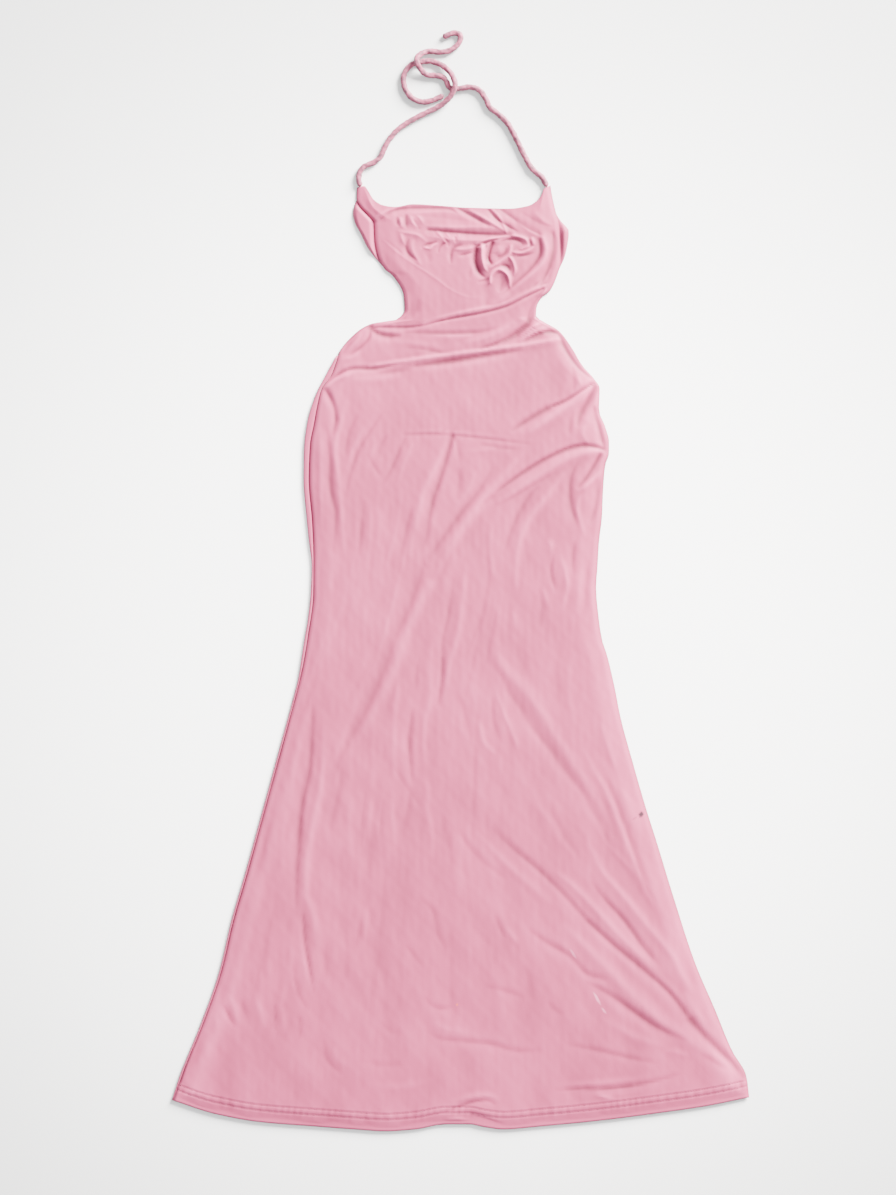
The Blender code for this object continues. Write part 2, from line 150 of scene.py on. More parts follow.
# Studio: the floor is shaded from the middle out, as the photograph's is
FLOOR_SIZE = 9.0
FLOOR_LEVEL = -0.0003
# Floor colour at the middle, and the painted shade colour at its edges
FLOOR_COLOUR = "#FCFCFC"
FLOOR_EDGE_SHADE_COLOUR = "#B4B4B4"
FLOOR_SHADE_START = 0.25
FLOOR_SHADE_END = 1.15
SKY_STRENGTH = 1.0
KEY_PLACE = (3.8, 4.6, 2.45)
KEY_SIZE = 2.6
KEY_POWER = 6600.0
TOP_PLACE = (0.0, 0.0, 3.2)
TOP_SIZE = 2.0
TOP_POWER = 90.0
LIGHTS_AIM = (0.0, 0.0, 0.0)
SENSOR_HEIGHT = 36.0

# Levels at which the rows stop following the neckline and start following the hem
NECK_LEVEL = 600.0
NECK_ROWS_END = 520.0
HEM_ROWS_START = -420.0
HEM_LEVEL = -600.0
BACK_TOP_LEVEL = 300.0
BACK_TOP_ROWS_END = 200.0
LIFT_PAST_EDGE = 12.0
LIFT_SETTLED = 80.0

# Rows of the front's grid: from a level down to a level, and the distance between the rows
FRONT_ROWS = [
    (600.0, 430.0, 1.25),
    (430.0, 200.0, 2.2),
    (200.0, -420.0, 3.5),
    (-420.0, -568.0, 3.0),
    (-568.0, -600.0, 1.1),
]

Edge = namedtuple("Edge", "y x")
Along = namedtuple("Along", "x y")
Crease = namedtuple("Crease", "path height left right start finish", defaults=(0, 0))
Route = namedtuple("Route", "x y rise")
Wave = namedtuple("Wave", "height seed count longest shortest lean")
RollTop = namedtuple("RollTop", "share drop")
Twist = namedtuple("Twist", "period amount")
Spot = namedtuple("Spot", "x y wide high turn colour strength")

# Gentle unevenness of the whole cloth: long waves and short ones
WAVES = [Wave(0.22, 5, 9, 90, 34, 0.15), Wave(0.07, 11, 12, 24, 9, 0.1)]

# Top of the back skirt's roll, from the seam to its turn: share of the way, drop below the top
ROLL_TOP = [
    RollTop(0.0, 0.9), RollTop(0.15, 0.25), RollTop(0.45, 0.0), RollTop(0.75, 0.0), RollTop(1.0, 0.0),
]

# Twists of a tie along its length
TIE_TWISTS = [Twist(95, 0.5), Twist(52, 0.35), Twist(31, 0.2)]

# Left edge of the front, which is its side seam, from the strap to the flare of the skirt
FRONT_LEFT = [
    Edge(611.6, -134.8), Edge(597, -135.4), Edge(587, -131), Edge(576, -120.5), Edge(566, -112.8),
    Edge(544, -111.8), Edge(523, -108), Edge(505, -98), Edge(497, -88), Edge(471, -74),
    Edge(452, -73), Edge(440, -84), Edge(435, -115.5), Edge(423, -136), Edge(397, -158),
    Edge(388, -161), Edge(367, -168.5), Edge(351, -180.5), Edge(325, -187), Edge(305, -190.5),
    Edge(276, -196), Edge(232, -197.5), Edge(176, -193), Edge(128, -191.4), Edge(82, -191.8),
    Edge(34, -198), Edge(-8, -205), Edge(-68, -220), Edge(-210, -259), Edge(-276, -277),
    Edge(-343, -296.5), Edge(-409, -312.5), Edge(-475, -335.8), Edge(-542, -363), Edge(-574, -373.5),
]

# Left edge of the back skirt, whose cloth is rolled over the side and shows beside the seam
BACK_LEFT = [
    Edge(393, -161.5), Edge(368, -175), Edge(340, -189), Edge(305, -199.5), Edge(270, -203.5),
    Edge(232, -204), Edge(192, -201), Edge(152, -197), Edge(121, -193.5), Edge(90, -194.4),
    Edge(50, -198.5), Edge(24, -203), Edge(-37, -213), Edge(-68, -221.7), Edge(-210, -260.7),
    Edge(-276, -279), Edge(-343, -298.4), Edge(-409, -314), Edge(-475, -337.4), Edge(-542, -364.7),
    Edge(-574, -375),
]

# Right edge of the front, which is the outline of the dress below the back band
FRONT_RIGHT = [
    Edge(614.6, 117), Edge(607, 118), Edge(581, 123.6), Edge(565, 128), Edge(554, 128.7),
    Edge(515, 130), Edge(496, 125), Edge(477.5, 116.4), Edge(467.7, 104.7), Edge(455.4, 98.8),
    Edge(443.7, 98.2), Edge(437.8, 107.3), Edge(425.5, 128), Edge(403, 145), Edge(381, 158),
    Edge(363, 173.6), Edge(351, 180.8), Edge(323, 180), Edge(301, 188), Edge(281, 193),
    Edge(267, 193), Edge(250, 188), Edge(217, 185.3), Edge(185, 184), Edge(151, 180),
    Edge(117, 178), Edge(93, 176.2), Edge(60, 178.8), Edge(24, 184), Edge(4, 190.5),
    Edge(-41, 201), Edge(-74, 207.4), Edge(-132, 223), Edge(-195, 241.2), Edge(-236, 254.2),
    Edge(-317, 279), Edge(-396, 305), Edge(-457, 331), Edge(-510, 353), Edge(-542, 371.2),
    Edge(-570, 375),
]

# Top edge of the front, from the left strap round the neckline to the right strap
NECKLINE = [
    Along(-134.8, 611.6), Along(-125.4, 613.4), Along(-119.6, 606.8), Along(-113.8, 597),
    Along(-100.8, 588.5), Along(-85.2, 586.3), Along(-61.8, 589.9), Along(-26.7, 588),
    Along(7.2, 585.4), Along(63, 584.1), Along(86.5, 587.3), Along(102.1, 597.1),
    Along(106.6, 605.5), Along(108, 609.7), Along(117, 614.6),
]

# Low top edge of the back skirt, from side seam to side seam
BACK_TOP = [
    Along(-159, 393), Along(-141, 342), Along(-105, 305), Along(-71, 292), Along(0, 288),
    Along(84, 281), Along(129, 297), Along(156, 328), Along(170, 352),
]

# Hem, from the left side seam to the right
HEM = [
    Along(-375, -574), Along(-317, -592.4), Along(-258, -602.8), Along(-192, -608),
    Along(-138.5, -612), Along(-98, -614.5), Along(-59, -612), Along(-19, -605.4),
    Along(11, -605.4), Along(32, -609.3), Along(55, -612), Along(106, -608), Along(185, -600.2),
    Along(265, -589.8), Along(318, -582), Along(375, -570.3),
]

# Top and bottom edges of the band across the back, at bust height
BAND_TOP = [Along(-137.2, 583), Along(-60, 573), Along(40, 563), Along(142, 558)]
BAND_BOTTOM = [Along(-99, 505), Along(-40, 491), Along(50, 482), Along(116.4, 479)]

# Sides of the band as they show past the front, and its top edge
BAND_LEFT = [
    Edge(600, -133), Edge(590, -137), Edge(579, -139.8), Edge(567, -137.2), Edge(552, -129.4),
    Edge(536, -121.6), Edge(520, -109.9), Edge(505, -97),
]
BAND_RIGHT = [
    Edge(583, 122), Edge(575, 126), Edge(567, 131.5), Edge(559, 138.5), Edge(556, 140.4),
    Edge(551, 140.4), Edge(536, 138.5), Edge(520, 134.6), Edge(505, 128.1), Edge(489, 121.6),
    Edge(479, 116),
]
BAND_TOP_EDGE = [
    Along(-133, 600), Along(-120, 588), Along(-100, 578), Along(-60, 573), Along(40, 563),
    Along(100, 566), Along(122, 583),
]

# How deep the creases are, by the distance down the dress from its middle
RELIEF = [
    Along(-600, 0.75), Along(-430, 0.7), Along(-330, 0.6), Along(-180, 0.45), Along(0, 0.4),
    Along(600, 0.42),
]

# Marks on the front: a dark dot by the right edge with its smear, a small speck and three pale
# pulled threads
SPOTS = [
    Spot(234.6, -202.6, 4.2, 5.0, -20, "#2A0E1A", 0.95),
    Spot(226, -207.5, 5.0, 1.6, 30, "#7A2A48", 0.5),
    Spot(-4.5, -449.4, 2.0, 2.0, 0, "#B8453A", 0.8),
    Spot(146, -383, 2.2, 9.0, 35, "#C0708E", 0.45),
    Spot(177, -441, 2.4, 11.0, 30, "#CC7C98", 0.55),
    Spot(186, -457, 2.0, 6.0, 40, "#C0708E", 0.5),
]

# Folds and creases: places along each line, its height above the cloth round it or its depth below
# it, its reach to its left and to its right, and the share of its height at its start and finish
CREASES = [
    # Shadowed fold under the neckline, and the pleats that drop from it
    Crease([(-108.5, 564.5), (-94, 577.5), (-76, 583.5), (-39.5, 584.5), (-13.5, 583),
            (-2, 575)], -2.4, 2.9, 4.2),
    Crease([(-112.5, 567), (-102, 577.5), (-86.5, 584), (-71, 587.5)], 1, 2.1, 2.1, 0.5, 0),
    Crease([(-3, 584), (12.5, 575), (38.5, 560.5)], -2.2, 3.4, 3.4, 0.6, 0),
    Crease([(12.5, 581.5), (33, 570), (56.5, 555.5)], 1.8, 3.1, 3.1, 0.5, 0.5),
    Crease([(37, 581.5), (49, 568.5), (75, 553)], -2, 2.6, 3.1, 0.6, 0),
    Crease([(38.5, 585.5), (51.5, 571), (60.5, 550.5)], 1.3, 2, 2, 0.8, 0.8),
    Crease([(51.5, 583), (69.5, 570), (88, 557), (106, 549)], -1.5, 3.4, 3.4, 0.6, 0.3),
    Crease([(72, 568.5), (88, 555.5), (106, 546.5)], 1.4, 3.1, 3.1),
    Crease([(77.5, 580), (98, 567), (119, 559.5)], -0.8, 3.9, 3.9),
    Crease([(95.5, 580), (108.5, 567), (121.5, 562)], 0.8, 3.9, 3.9),
    # Cowl that hangs open across the bust
    Crease([(-52.5, 562), (-13.5, 559.5), (28, 559.5), (59, 555.5)], 1.2, 3.9, 3.9),
    Crease([(-42, 556), (-11, 553), (25.5, 550.5), (64.5, 549)], -3, 3.1, 3.9, 0.5, 0.7),
    Crease([(-47.5, 549), (-13.5, 544), (25.5, 542.5), (58, 544)], 1.6, 4.4, 3.9, 0, 0.5),
    Crease([(-65.5, 575), (-26.5, 572.5), (12.5, 567)], -1.3, 6.5, 6.5),
    # Little pleats at the left end of the cowl
    Crease([(-78.5, 573.5), (-77.5, 566), (-76, 558)], 1.6, 2.6, 2.6),
    Crease([(-82.5, 573.5), (-82, 567), (-81, 560.5)], -1.4, 2.2, 2.2),
    Crease([(-71, 575), (-71, 566), (-69.5, 557)], -1.7, 2.6, 2.6, 0.6, 0),
    Crease([(-65.5, 575), (-62, 566), (-54, 558)], 1.6, 2.6, 2.6),
    Crease([(-62, 571), (-58, 563.5), (-52.5, 555.5)], -1.3, 2.3, 2.3),
    Crease([(-58, 575), (-52.5, 571), (-47.5, 562)], 1.1, 2.6, 2.6),
    # Gathers that hang from the cowl
    Crease([(-30.5, 554), (-24, 546.5), (-15, 536)], 1.6, 2.6, 2.6, 0.5, 0),
    Crease([(-23, 546.5), (-17.5, 540), (-15, 533.5)], -1.5, 2.1, 2.1),
    Crease([(-19, 553), (-13.5, 545), (-11, 540)], 1.3, 2.3, 2.3),
    Crease([(-8.5, 551.5), (-6.5, 544), (-6, 538.5)], -1.4, 2.1, 2.1),
    Crease([(-3, 553), (-2, 545), (-2, 537.5)], 1.2, 2.5, 2.5),
    Crease([(-82.5, 554), (-68, 552), (-55, 549), (-43.5, 540)], 1.6, 3.1, 3.6),
    Crease([(-77.5, 554), (-76, 545), (-71, 534.5)], 1.7, 3.4, 3.4),
    Crease([(-67, 545), (-71, 534.5), (-67, 524.5), (-55, 515)], -2.2, 2.9, 4.2),
    Crease([(-60.5, 545), (-63, 534.5), (-59, 523), (-50, 508.5)], 1.2, 3.4, 3.4),
    Crease([(-51.5, 532), (-45, 536.5), (-37, 538.5), (-30.5, 541)], -2.2, 2.2, 2.2),
    Crease([(-50, 534.5), (-41, 532), (-36, 536), (-29, 539)], 2, 2.1, 2.1),
    Crease([(-29, 525.5), (-28, 532), (-23, 537.5), (-15, 540)], -1.8, 2.3, 2.3),
    Crease([(-47.5, 527), (-42, 520.5), (-39.5, 512.5)], -0.7, 5.2, 5.2),
    Crease([(-12.5, 511.5), (-12.5, 525.5), (-7, 533.5), (0.5, 536)], -2.2, 3.1, 2.9, 0, 0.4),
    Crease([(-7, 531), (4.5, 531), (17.5, 533.5)], 1.8, 3.4, 3.1, 0.4, 0.6),
    Crease([(-3, 522.5), (7, 524.5), (19, 528)], -1.7, 2.3, 2.3, 0, 0.8),
    # Crumpled knot at the middle of the bust
    Crease([(20, 531), (19, 515), (25.5, 499.5), (33, 494.5)], -4.6, 3.6, 4.2, 0.8, 0),
    Crease([(27.5, 536), (28, 520.5), (30.5, 508.5), (36, 501)], 4.8, 3.9, 3.9, 0.7, 0),
    Crease([(41.5, 540), (37, 528), (36, 518), (42, 510)], -4.4, 2.9, 3.1, 0.8, 0),
    Crease([(33, 536), (34, 529.5), (34.5, 523)], -1.8, 2, 2, 0.6, 0),
    Crease([(17.5, 532), (28, 537.5), (38.5, 541), (49, 544)], -2.4, 2.2, 2, 0.8, 0.4),
    Crease([(20, 538.5), (36, 544), (51.5, 547), (69.5, 548.5), (84, 544),
            (88, 536), (78.5, 531)], 2.6, 2.6, 2.9, 0.4, 0.5),
    Crease([(50, 541), (67, 544), (78.5, 540), (81, 534.5)], -2, 2.9, 2.9),
    Crease([(47.5, 536), (51.5, 528), (50, 521.5)], 1.7, 6.5, 6.5),
    Crease([(65.5, 534.5), (63, 524.5), (51.5, 515), (37, 506)], 2.6, 2.9, 2.9, 0.6, 0.4),
    Crease([(59, 533.5), (56.5, 525.5), (46, 518)], -1.6, 2.6, 2.6),
    Crease([(62, 523), (68, 515), (71, 503.5), (68, 495.5)], 2.6, 2.3, 2.6, 0.6, 0),
    Crease([(38.5, 488), (39.5, 497), (46, 504), (54, 503.5), (62, 495.5),
            (64.5, 482.5)], 3.4, 2.9, 2.6, 0.8, 0.5),
    Crease([(51.5, 510), (60.5, 508.5), (64.5, 502)], -2.4, 2.9, 2.9),
    Crease([(51.5, 497), (54, 488), (50, 475)], -2, 5.9, 5.2),
    Crease([(21.5, 488), (30.5, 490.5), (38.5, 493)], -1.2, 2.1, 2.1),
    Crease([(64.5, 528), (77.5, 526), (88, 529.5), (95.5, 534.5)], 2.2, 2.6, 2.6, 0.5, 0.3),
    Crease([(72, 521.5), (85, 523), (95.5, 527)], -1.6, 2.3, 2.3),
    Crease([(91.5, 547.5), (94, 541), (96, 534.5)], 2.2, 3.1, 3.1),
    Crease([(88, 544), (89.5, 538.5), (90.5, 533.5)], -1.5, 2.1, 2.1),
    Crease([(15, 515), (12.5, 502), (10, 492)], -0.9, 3.9, 3.9),
    Crease([(33, 486.5), (36, 471), (30.5, 454)], -1.2, 6.5, 6.5),
    # Smooth fold that swings round the knot
    Crease([(107, 546.5), (111, 528), (102, 508.5), (78.5, 488), (62, 475)], 3.4, 5.7, 5.7, 0.6, 0),
    Crease([(102.5, 542.5), (102.5, 523), (89, 503.5), (69.5, 485.5), (51.5, 469.5)], -3, 3.6, 3.6, 0.5, 0),
    Crease([(120, 551.5), (121.5, 531), (114, 505), (103.5, 482.5)], -3, 4.4, 4.4, 0.6, 0.4),
    Crease([(117.5, 507.5), (110, 492), (97, 477.5)], 1.1, 2.1, 2.1),
    Crease([(111, 502), (103.5, 490.5), (91.5, 480)], -0.9, 2, 2),
    Crease([(62, 475), (49, 463), (33, 455.5)], 1.6, 6.5, 6.5, 0.4, 0),
    # Faint line of the layer beneath the bust
    Crease([(-102, 544), (-84, 528), (-60.5, 511.5), (-34.5, 494.5), (-11, 477.5),
            (10, 469), (30.5, 468.5)], 0.5, 2, 2),
    Crease([(-101, 546.5), (-78.5, 528), (-55, 511.5)], -0.4, 2, 2),
    Crease([(-73.5, 476), (-71, 459.5), (-78.5, 445)], 1, 6.5, 6.5),
    Crease([(-55, 466), (-58, 453), (-64.5, 442.5)], -0.7, 5.2, 5.2),
    # Drag lines across the waist
    Crease([(107, 484), (81, 472.5), (55, 460.5), (25.5, 454), (-7, 447.5),
            (-39.5, 440)], 1.9, 6.5, 2.6, 0.7, 0),
    Crease([(107, 480), (81, 467), (58, 456), (25.5, 447.5), (-11, 441),
            (-47.5, 432)], -2.2, 2, 2.2, 0.8, 0.4),
    Crease([(-47.5, 432), (-73.5, 429.5), (-114, 430)], -1.8, 2, 2.2, 0.4, 0.8),
    Crease([(-117.5, 432), (-110, 424), (-97, 419), (-76, 419)], -3, 3.4, 4.2, 1, 0),
    Crease([(-76, 424), (-26.5, 422), (23, 423.5), (51.5, 430.5)], -1.7, 3.1, 2.9),
    Crease([(-39.5, 419), (-0.5, 418.5), (28, 420.5)], 0.9, 2.9, 2.9),
    Crease([(69.5, 438.5), (56.5, 428), (33, 416.5), (2, 410)], 1.7, 6, 6),
    Crease([(101, 463), (93, 449), (86.5, 433.5), (73.5, 421.5), (55, 411)], -4.4, 4.7, 5.2, 0.6, 0.3),
    Crease([(111, 479), (102, 462), (97, 447.5), (99.5, 440)], 2, 2, 2.1, 0.6, 0.4),
    Crease([(69.5, 423), (54, 412.5), (36, 404.5), (12.5, 398)], -2, 2.3, 2.3, 0.5, 0),
    Crease([(104.5, 436), (90.5, 427), (76, 417.5)], 2.2, 2.2, 2.2, 0.6, 0),
    Crease([(115, 429.5), (95.5, 423), (75, 411)], 1.8, 2.9, 2.9),
    Crease([(128, 423), (112.5, 424), (97, 419), (82.5, 412.5)], -2.8, 2.6, 2.9, 0.9, 0),
    Crease([(127, 415), (77.5, 406.5), (25.5, 399.5), (-26.5, 393), (-73.5, 386.5),
            (-117.5, 380)], 2.6, 4.7, 2.3, 0.6, 0.3),
    Crease([(82.5, 401), (33, 393), (-13.5, 385), (-68, 378.5)], -3.6, 3.9, 6.5),
    Crease([(-73.5, 384), (-110, 376.5), (-141, 376), (-159, 368.5), (-177.5, 355.5),
            ], -2.6, 2.2, 2.5, 0, 0.9),
    Crease([(-65.5, 375), (-89, 372), (-112.5, 369.5)], -1.1, 3.6, 3.6),
    Crease([(-78.5, 367), (-104.5, 363), (-143.5, 362)], 1.3, 6.5, 6.5),
    Crease([(-143.5, 368.5), (-162, 362), (-176, 351.5)], 1.8, 3.1, 4.7, 0.3, 0.6),
    Crease([(12.5, 398), (-16, 395.5), (-45, 401), (-73.5, 404.5)], -0.9, 2.3, 2.3),
    Crease([(-26.5, 406), (-65.5, 410), (-91.5, 412.5)], 0.8, 5.2, 5.2),
    Crease([(-116.5, 430.5), (-119, 416.5), (-130.5, 403.5), (-147.5, 391.5)], -2, 3.1, 3.1, 0.9, 0),
    Crease([(-128, 424), (-136, 411), (-151.5, 397)], 1.6, 3.9, 3.9),
    Crease([(-140, 412.5), (-150, 401), (-159, 390.5)], -1.3, 3.1, 3.1),
    Crease([(-156.5, 388), (-141, 391.5), (-128, 401)], 1, 3.9, 3.9),
    # Drag lines from the right hip
    Crease([(177.5, 360.5), (158, 348), (137, 334.5), (116.5, 325.5)], -3.4, 2, 2.5, 1, 0.8),
    Crease([(116.5, 325.5), (101, 317.5), (82.5, 306), (64.5, 294)], -2.9, 4.2, 4.4, 0.8, 0),
    Crease([(171, 351.5), (145, 332), (114, 311), (82.5, 289)], 2.8, 6.5, 7.2, 0.6, 0),
    Crease([(175, 351.5), (166, 334.5), (156.5, 317.5), (151.5, 299.5)], -4.2, 5.2, 5.7, 1, 0),
    Crease([(173.5, 325.5), (179, 304.5), (185, 281), (188, 268)], -2.8, 3.4, 3.4, 0.5, 0.6),
    Crease([(180, 354), (179, 338.5), (177.5, 323)], 1.8, 2.3, 2.3, 0.5, 0),
    Crease([(149, 324), (143.5, 307), (141, 289)], -1.3, 4.2, 4.2),
    Crease([(163, 304.5), (159, 291.5), (166, 278.5)], 1.6, 3.9, 4.4),
    Crease([(129.5, 419), (140, 395.5), (155.5, 376), (171, 364.5)], -2.4, 3.9, 3.9, 0.8, 0.7),
    Crease([(146, 388), (147.5, 362), (147.5, 341)], -0.9, 2.9, 2.9),
    Crease([(153, 367), (155.5, 356.5), (155.5, 349)], 1, 2.3, 2.3),
    Crease([(137, 372), (137, 354), (130.5, 338.5)], 0.7, 5.2, 5.2),
    Crease([(186.5, 272), (163, 276), (140, 272), (111, 259), (85, 243.5),
            (59, 225.5), (38.5, 209.5)], -3.8, 3.4, 2.9, 0.9, 0),
    Crease([(51.5, 216), (36, 206), (23, 194)], -1.2, 3.9, 3.9),
    Crease([(179, 271), (142.5, 260.5), (111, 243.5), (77.5, 221.5), (46, 199.5)], 2.8, 6.5, 7.8, 0.6, 0),
    Crease([(124, 242), (90.5, 222.5), (62, 206), (38.5, 195.5)], -1, 2.9, 2.9),
    Crease([(181.5, 264.5), (171, 246), (160.5, 230.5), (150, 220)], -3.2, 3.4, 3.4, 0.9, 0),
    Crease([(184, 245), (168.5, 229), (151.5, 215)], 2.2, 3.4, 3.4),
    Crease([(181.5, 229), (179, 213.5), (176, 195.5), (168.5, 174.5)], -2.4, 4.7, 4.4, 0.5, 0),
    Crease([(153, 255), (143.5, 233), (143.5, 199.5), (153, 169.5)], -2.6, 3.9, 4.2),
    Crease([(158, 215), (151.5, 196.5), (156.5, 174.5), (163, 154)], 2, 3.6, 3.6),
    Crease([(137, 245), (114, 212.5), (90.5, 182.5), (75, 143.5), (71, 89)], 2.8, 6.5, 6.5),
    Crease([(103.5, 226.5), (86.5, 206), (69.5, 174.5), (54, 128)], -2.5, 5.2, 5.2),
    Crease([(85, 271), (54, 235.5), (23, 198), (-11, 147.5), (-39.5, 91.5)], 3, 8.5, 7.8),
    Crease([(43.5, 250), (25.5, 219), (2, 190), (-21.5, 157.5), (-47.5, 120)], -2.6, 5.7, 5.7),
    Crease([(20, 245), (12.5, 224), (2, 206)], 1, 4.4, 4.4),
    Crease([(-3, 247.5), (-2, 226.5), (-4.5, 203)], -1.7, 5.7, 5.7),
    # Edge of the back that shows through, and the folds that fall from it
    Crease([(-73.5, 290.5), (-26.5, 291), (25.5, 286.5), (72, 280.5), (101, 276.5),
            ], -1.1, 2.2, 2.2, 0.6, 0),
    Crease([(-73.5, 293), (-26.5, 294), (25.5, 289), (72, 283)], 0.6, 2.3, 2),
    Crease([(-29, 291.5), (-23, 294), (-17.5, 297)], -0.9, 2.1, 2.1),
    Crease([(23, 278.5), (51.5, 273.5), (77.5, 271)], -1, 2.9, 2.9),
    Crease([(7, 268), (33, 271), (59, 276)], 0.7, 4.4, 4.4),
    Crease([(-10, 287.5), (-15, 271), (-25.5, 234.5), (-36, 203), (-45, 154)], -2.8, 3.4, 6, 1, 0),
    Crease([(-17.5, 282.5), (-32, 250), (-47.5, 216), (-58, 174.5), (-67, 128)], 2.4, 6.5, 6.5),
    Crease([(-62, 198), (-71, 164), (-78.5, 128)], -1.4, 3.9, 3.9),
    Crease([(-8.5, 286.5), (-3, 271), (-0.5, 250)], -1, 3.6, 3.6, 0.8, 0),
    Crease([(-39.5, 190), (-42, 167), (-50, 138)], -1.4, 4.4, 4.4),
    # Soft folds over the left hip
    Crease([(-176, 350), (-166, 332), (-162, 310), (-166, 287.5)], -2.8, 3.6, 4.2, 0.6, 0),
    Crease([(-176, 307), (-172, 287.5), (-169.5, 258), (-168.5, 219), (-162, 185),
            (-166, 133)], -2.2, 3.9, 4.4),
    Crease([(-150, 336), (-155.5, 303.5), (-163, 273.5), (-159, 234.5), (-154, 180),
            (-150, 128)], 2, 5.5, 5.5),
    Crease([(-182.5, 310), (-182.5, 264.5), (-181.5, 206), (-179, 154)], 1.5, 4.4, 4.4),
    Crease([(-99.5, 321.5), (-117.5, 294), (-133, 268), (-143.5, 237), (-150, 206)], -1.3, 3.4, 3.4),
    Crease([(-133, 317.5), (-145, 291.5), (-150, 260.5)], -1.2, 4.4, 4.4),
    Crease([(-123, 304.5), (-138.5, 273.5), (-149, 242)], 0.9, 3.9, 3.9),
    Crease([(-69.5, 291.5), (-78.5, 271), (-91.5, 242), (-104.5, 221.5)], -1.4, 3.4, 3.6),
    Crease([(-60.5, 284), (-73.5, 252.5), (-84, 219)], 1.1, 4.4, 4.4),
    Crease([(-94, 291.5), (-103.5, 276), (-106, 258)], -0.9, 3.6, 3.6),
    Crease([(-123, 268), (-114, 252.5), (-103.5, 235.5)], -0.9, 3.1, 3.1),
    Crease([(-110, 278.5), (-116.5, 263), (-120, 245)], 0.7, 3.9, 3.9),
    Crease([(-125.5, 206), (-128, 173.5), (-132, 133)], -1.6, 3.9, 3.9),
    Crease([(-116.5, 199.5), (-117.5, 160.5), (-121.5, 115)], 1.1, 4.7, 4.7),
    Crease([(-101, 206), (-107, 154), (-112.5, 89)], 0.6, 5.7, 5.7),
    Crease([(-91.5, 206), (-94, 167), (-99.5, 128)], -0.6, 4.7, 4.7),
    # Long fold across the middle of the skirt
    Crease([(-39.5, 96.5), (-58, 61.5), (-71, 29), (-84, -7.5), (-104.5, -54),
            (-136, -114)], 2.6, 9.1, 7.8, 0.8, 0),
    Crease([(-47.5, 120), (-67, 65.5), (-86.5, 24), (-97, -7.5), (-117.5, -57),
            (-149, -116.5), (-169.5, -171)], -2.3, 5.2, 11.7, 0.7, 0),
    Crease([(-8.5, 109.5), (-15, 60), (-23, 24), (-24, -2)], -1.8, 4.7, 4.7, 0, 0.8),
    Crease([(-24, 0.5), (-24.5, -28), (-29, -64.5)], -2.9, 3.6, 3.6, 0.8, 0),
    Crease([(7, 128), (3, 78.5), (-4.5, 26.5), (-15, -10), (-21.5, -54)], 2.2, 5.7, 5.7),
    Crease([(-37, 24), (-39.5, -15), (-39.5, -54), (-47.5, -93), (-46, -151.5)], 1.9, 5.2, 5.7),
    Crease([(-62, -64.5), (-66.5, -109), (-62, -163.5)], -3.2, 4.2, 4.2),
    Crease([(-77.5, -7.5), (-84, -54), (-88, -119), (-84, -171)], 1.5, 6, 6),
    Crease([(-51.5, 11), (-56.5, -18), (-58, -41)], -0.9, 3.4, 3.4),
    Crease([(32, 164), (36, 108.5), (29, 57.5), (15, 21), (4.5, -2)], -1.4, 4.7, 4.7),
    Crease([(46, 190), (38.5, 147.5), (43.5, 102)], 0.9, 4.7, 4.7),
    Crease([(51.5, 95.5), (47.5, 50), (45, 29), (51.5, -5), (88, -46.5),
            (117.5, -90.5), (146, -135), (176, -184), (205, -231)], 2.1, 7.8, 7.8),
    Crease([(37, 4.5), (60.5, -38.5), (91.5, -86.5), (127, -133.5), (159, -175),
            (186.5, -226), (203.5, -265)], -2, 7.8, 5.2),
    Crease([(45, -38.5), (59, -77.5), (72, -109), (77.5, -132)], 1.8, 3.6, 3.6),
    Crease([(41, -51.5), (43.5, -83), (54, -111.5)], -1.7, 4.2, 4.2),
    Crease([(24, -75), (30.5, -109), (51.5, -127)], 1.3, 3.6, 3.6),
    Crease([(-6, -38.5), (7, -75), (15, -116.5)], -1.1, 4.4, 4.4),
    Crease([(10, -28), (20, -59.5), (25.5, -80)], 0.8, 4.4, 4.4),
    Crease([(-86.5, -140), (-73.5, -161), (-51.5, -192)], -1, 2.9, 2.9),
    Crease([(67, 24), (82.5, -12.5), (103.5, -41)], -0.8, 5.7, 5.7),
    Crease([(129.5, 24), (124, -28), (132, -75)], -0.9, 6.5, 6.5),
    Crease([(145, 11), (140, -41), (150, -88)], 0.8, 6, 6),
    # Dents beside the right thigh
    Crease([(129.5, 137), (136, 112), (138.5, 89), (129.5, 55)], 1.9, 3.6, 4.2),
    Crease([(121.5, 137), (117.5, 112), (124, 86)], -2.2, 3.1, 3.1),
    Crease([(149, 154), (146, 128), (147.5, 104.5)], -2.2, 3.6, 3.6),
    Crease([(111, 152.5), (117.5, 147.5), (116.5, 138)], 1.5, 3.6, 3.6),
    Crease([(101, 91.5), (106, 68), (103.5, 37)], -1.4, 4.4, 4.4),
    Crease([(106, 91.5), (111, 79.5), (112.5, 68)], 1, 2.9, 2.9),
    Crease([(82.5, 154), (86.5, 128), (90.5, 95.5)], -0.7, 5.2, 5.2),
    Crease([(67, 63), (71, 47), (73.5, 34)], 0.9, 3.4, 3.4),
    Crease([(167, 128), (163, 89), (162, 50)], -1.6, 4.4, 4.4),
    Crease([(155.5, 120), (153, 81), (145, 37)], 1.2, 5.2, 5.2),
    # Long folds down the left of the skirt
    Crease([(-193, -41), (-192, -83), (-195.5, -145), (-205, -192), (-210, -249),
            (-212.5, -298.5), (-212.5, -337.5)], -3, 3.1, 6.5),
    Crease([(-180, -59.5), (-177.5, -116.5), (-182.5, -171), (-193, -218), (-199.5, -265),
            (-201, -306.5), (-190.5, -337.5), (-182.5, -411.5)], 2.7, 7.8, 5.2),
    Crease([(-203.5, -333.5), (-201, -371.5), (-193, -415.5), (-189, -441.5)], -2.2, 2.6, 2.9, 0.5, 0),
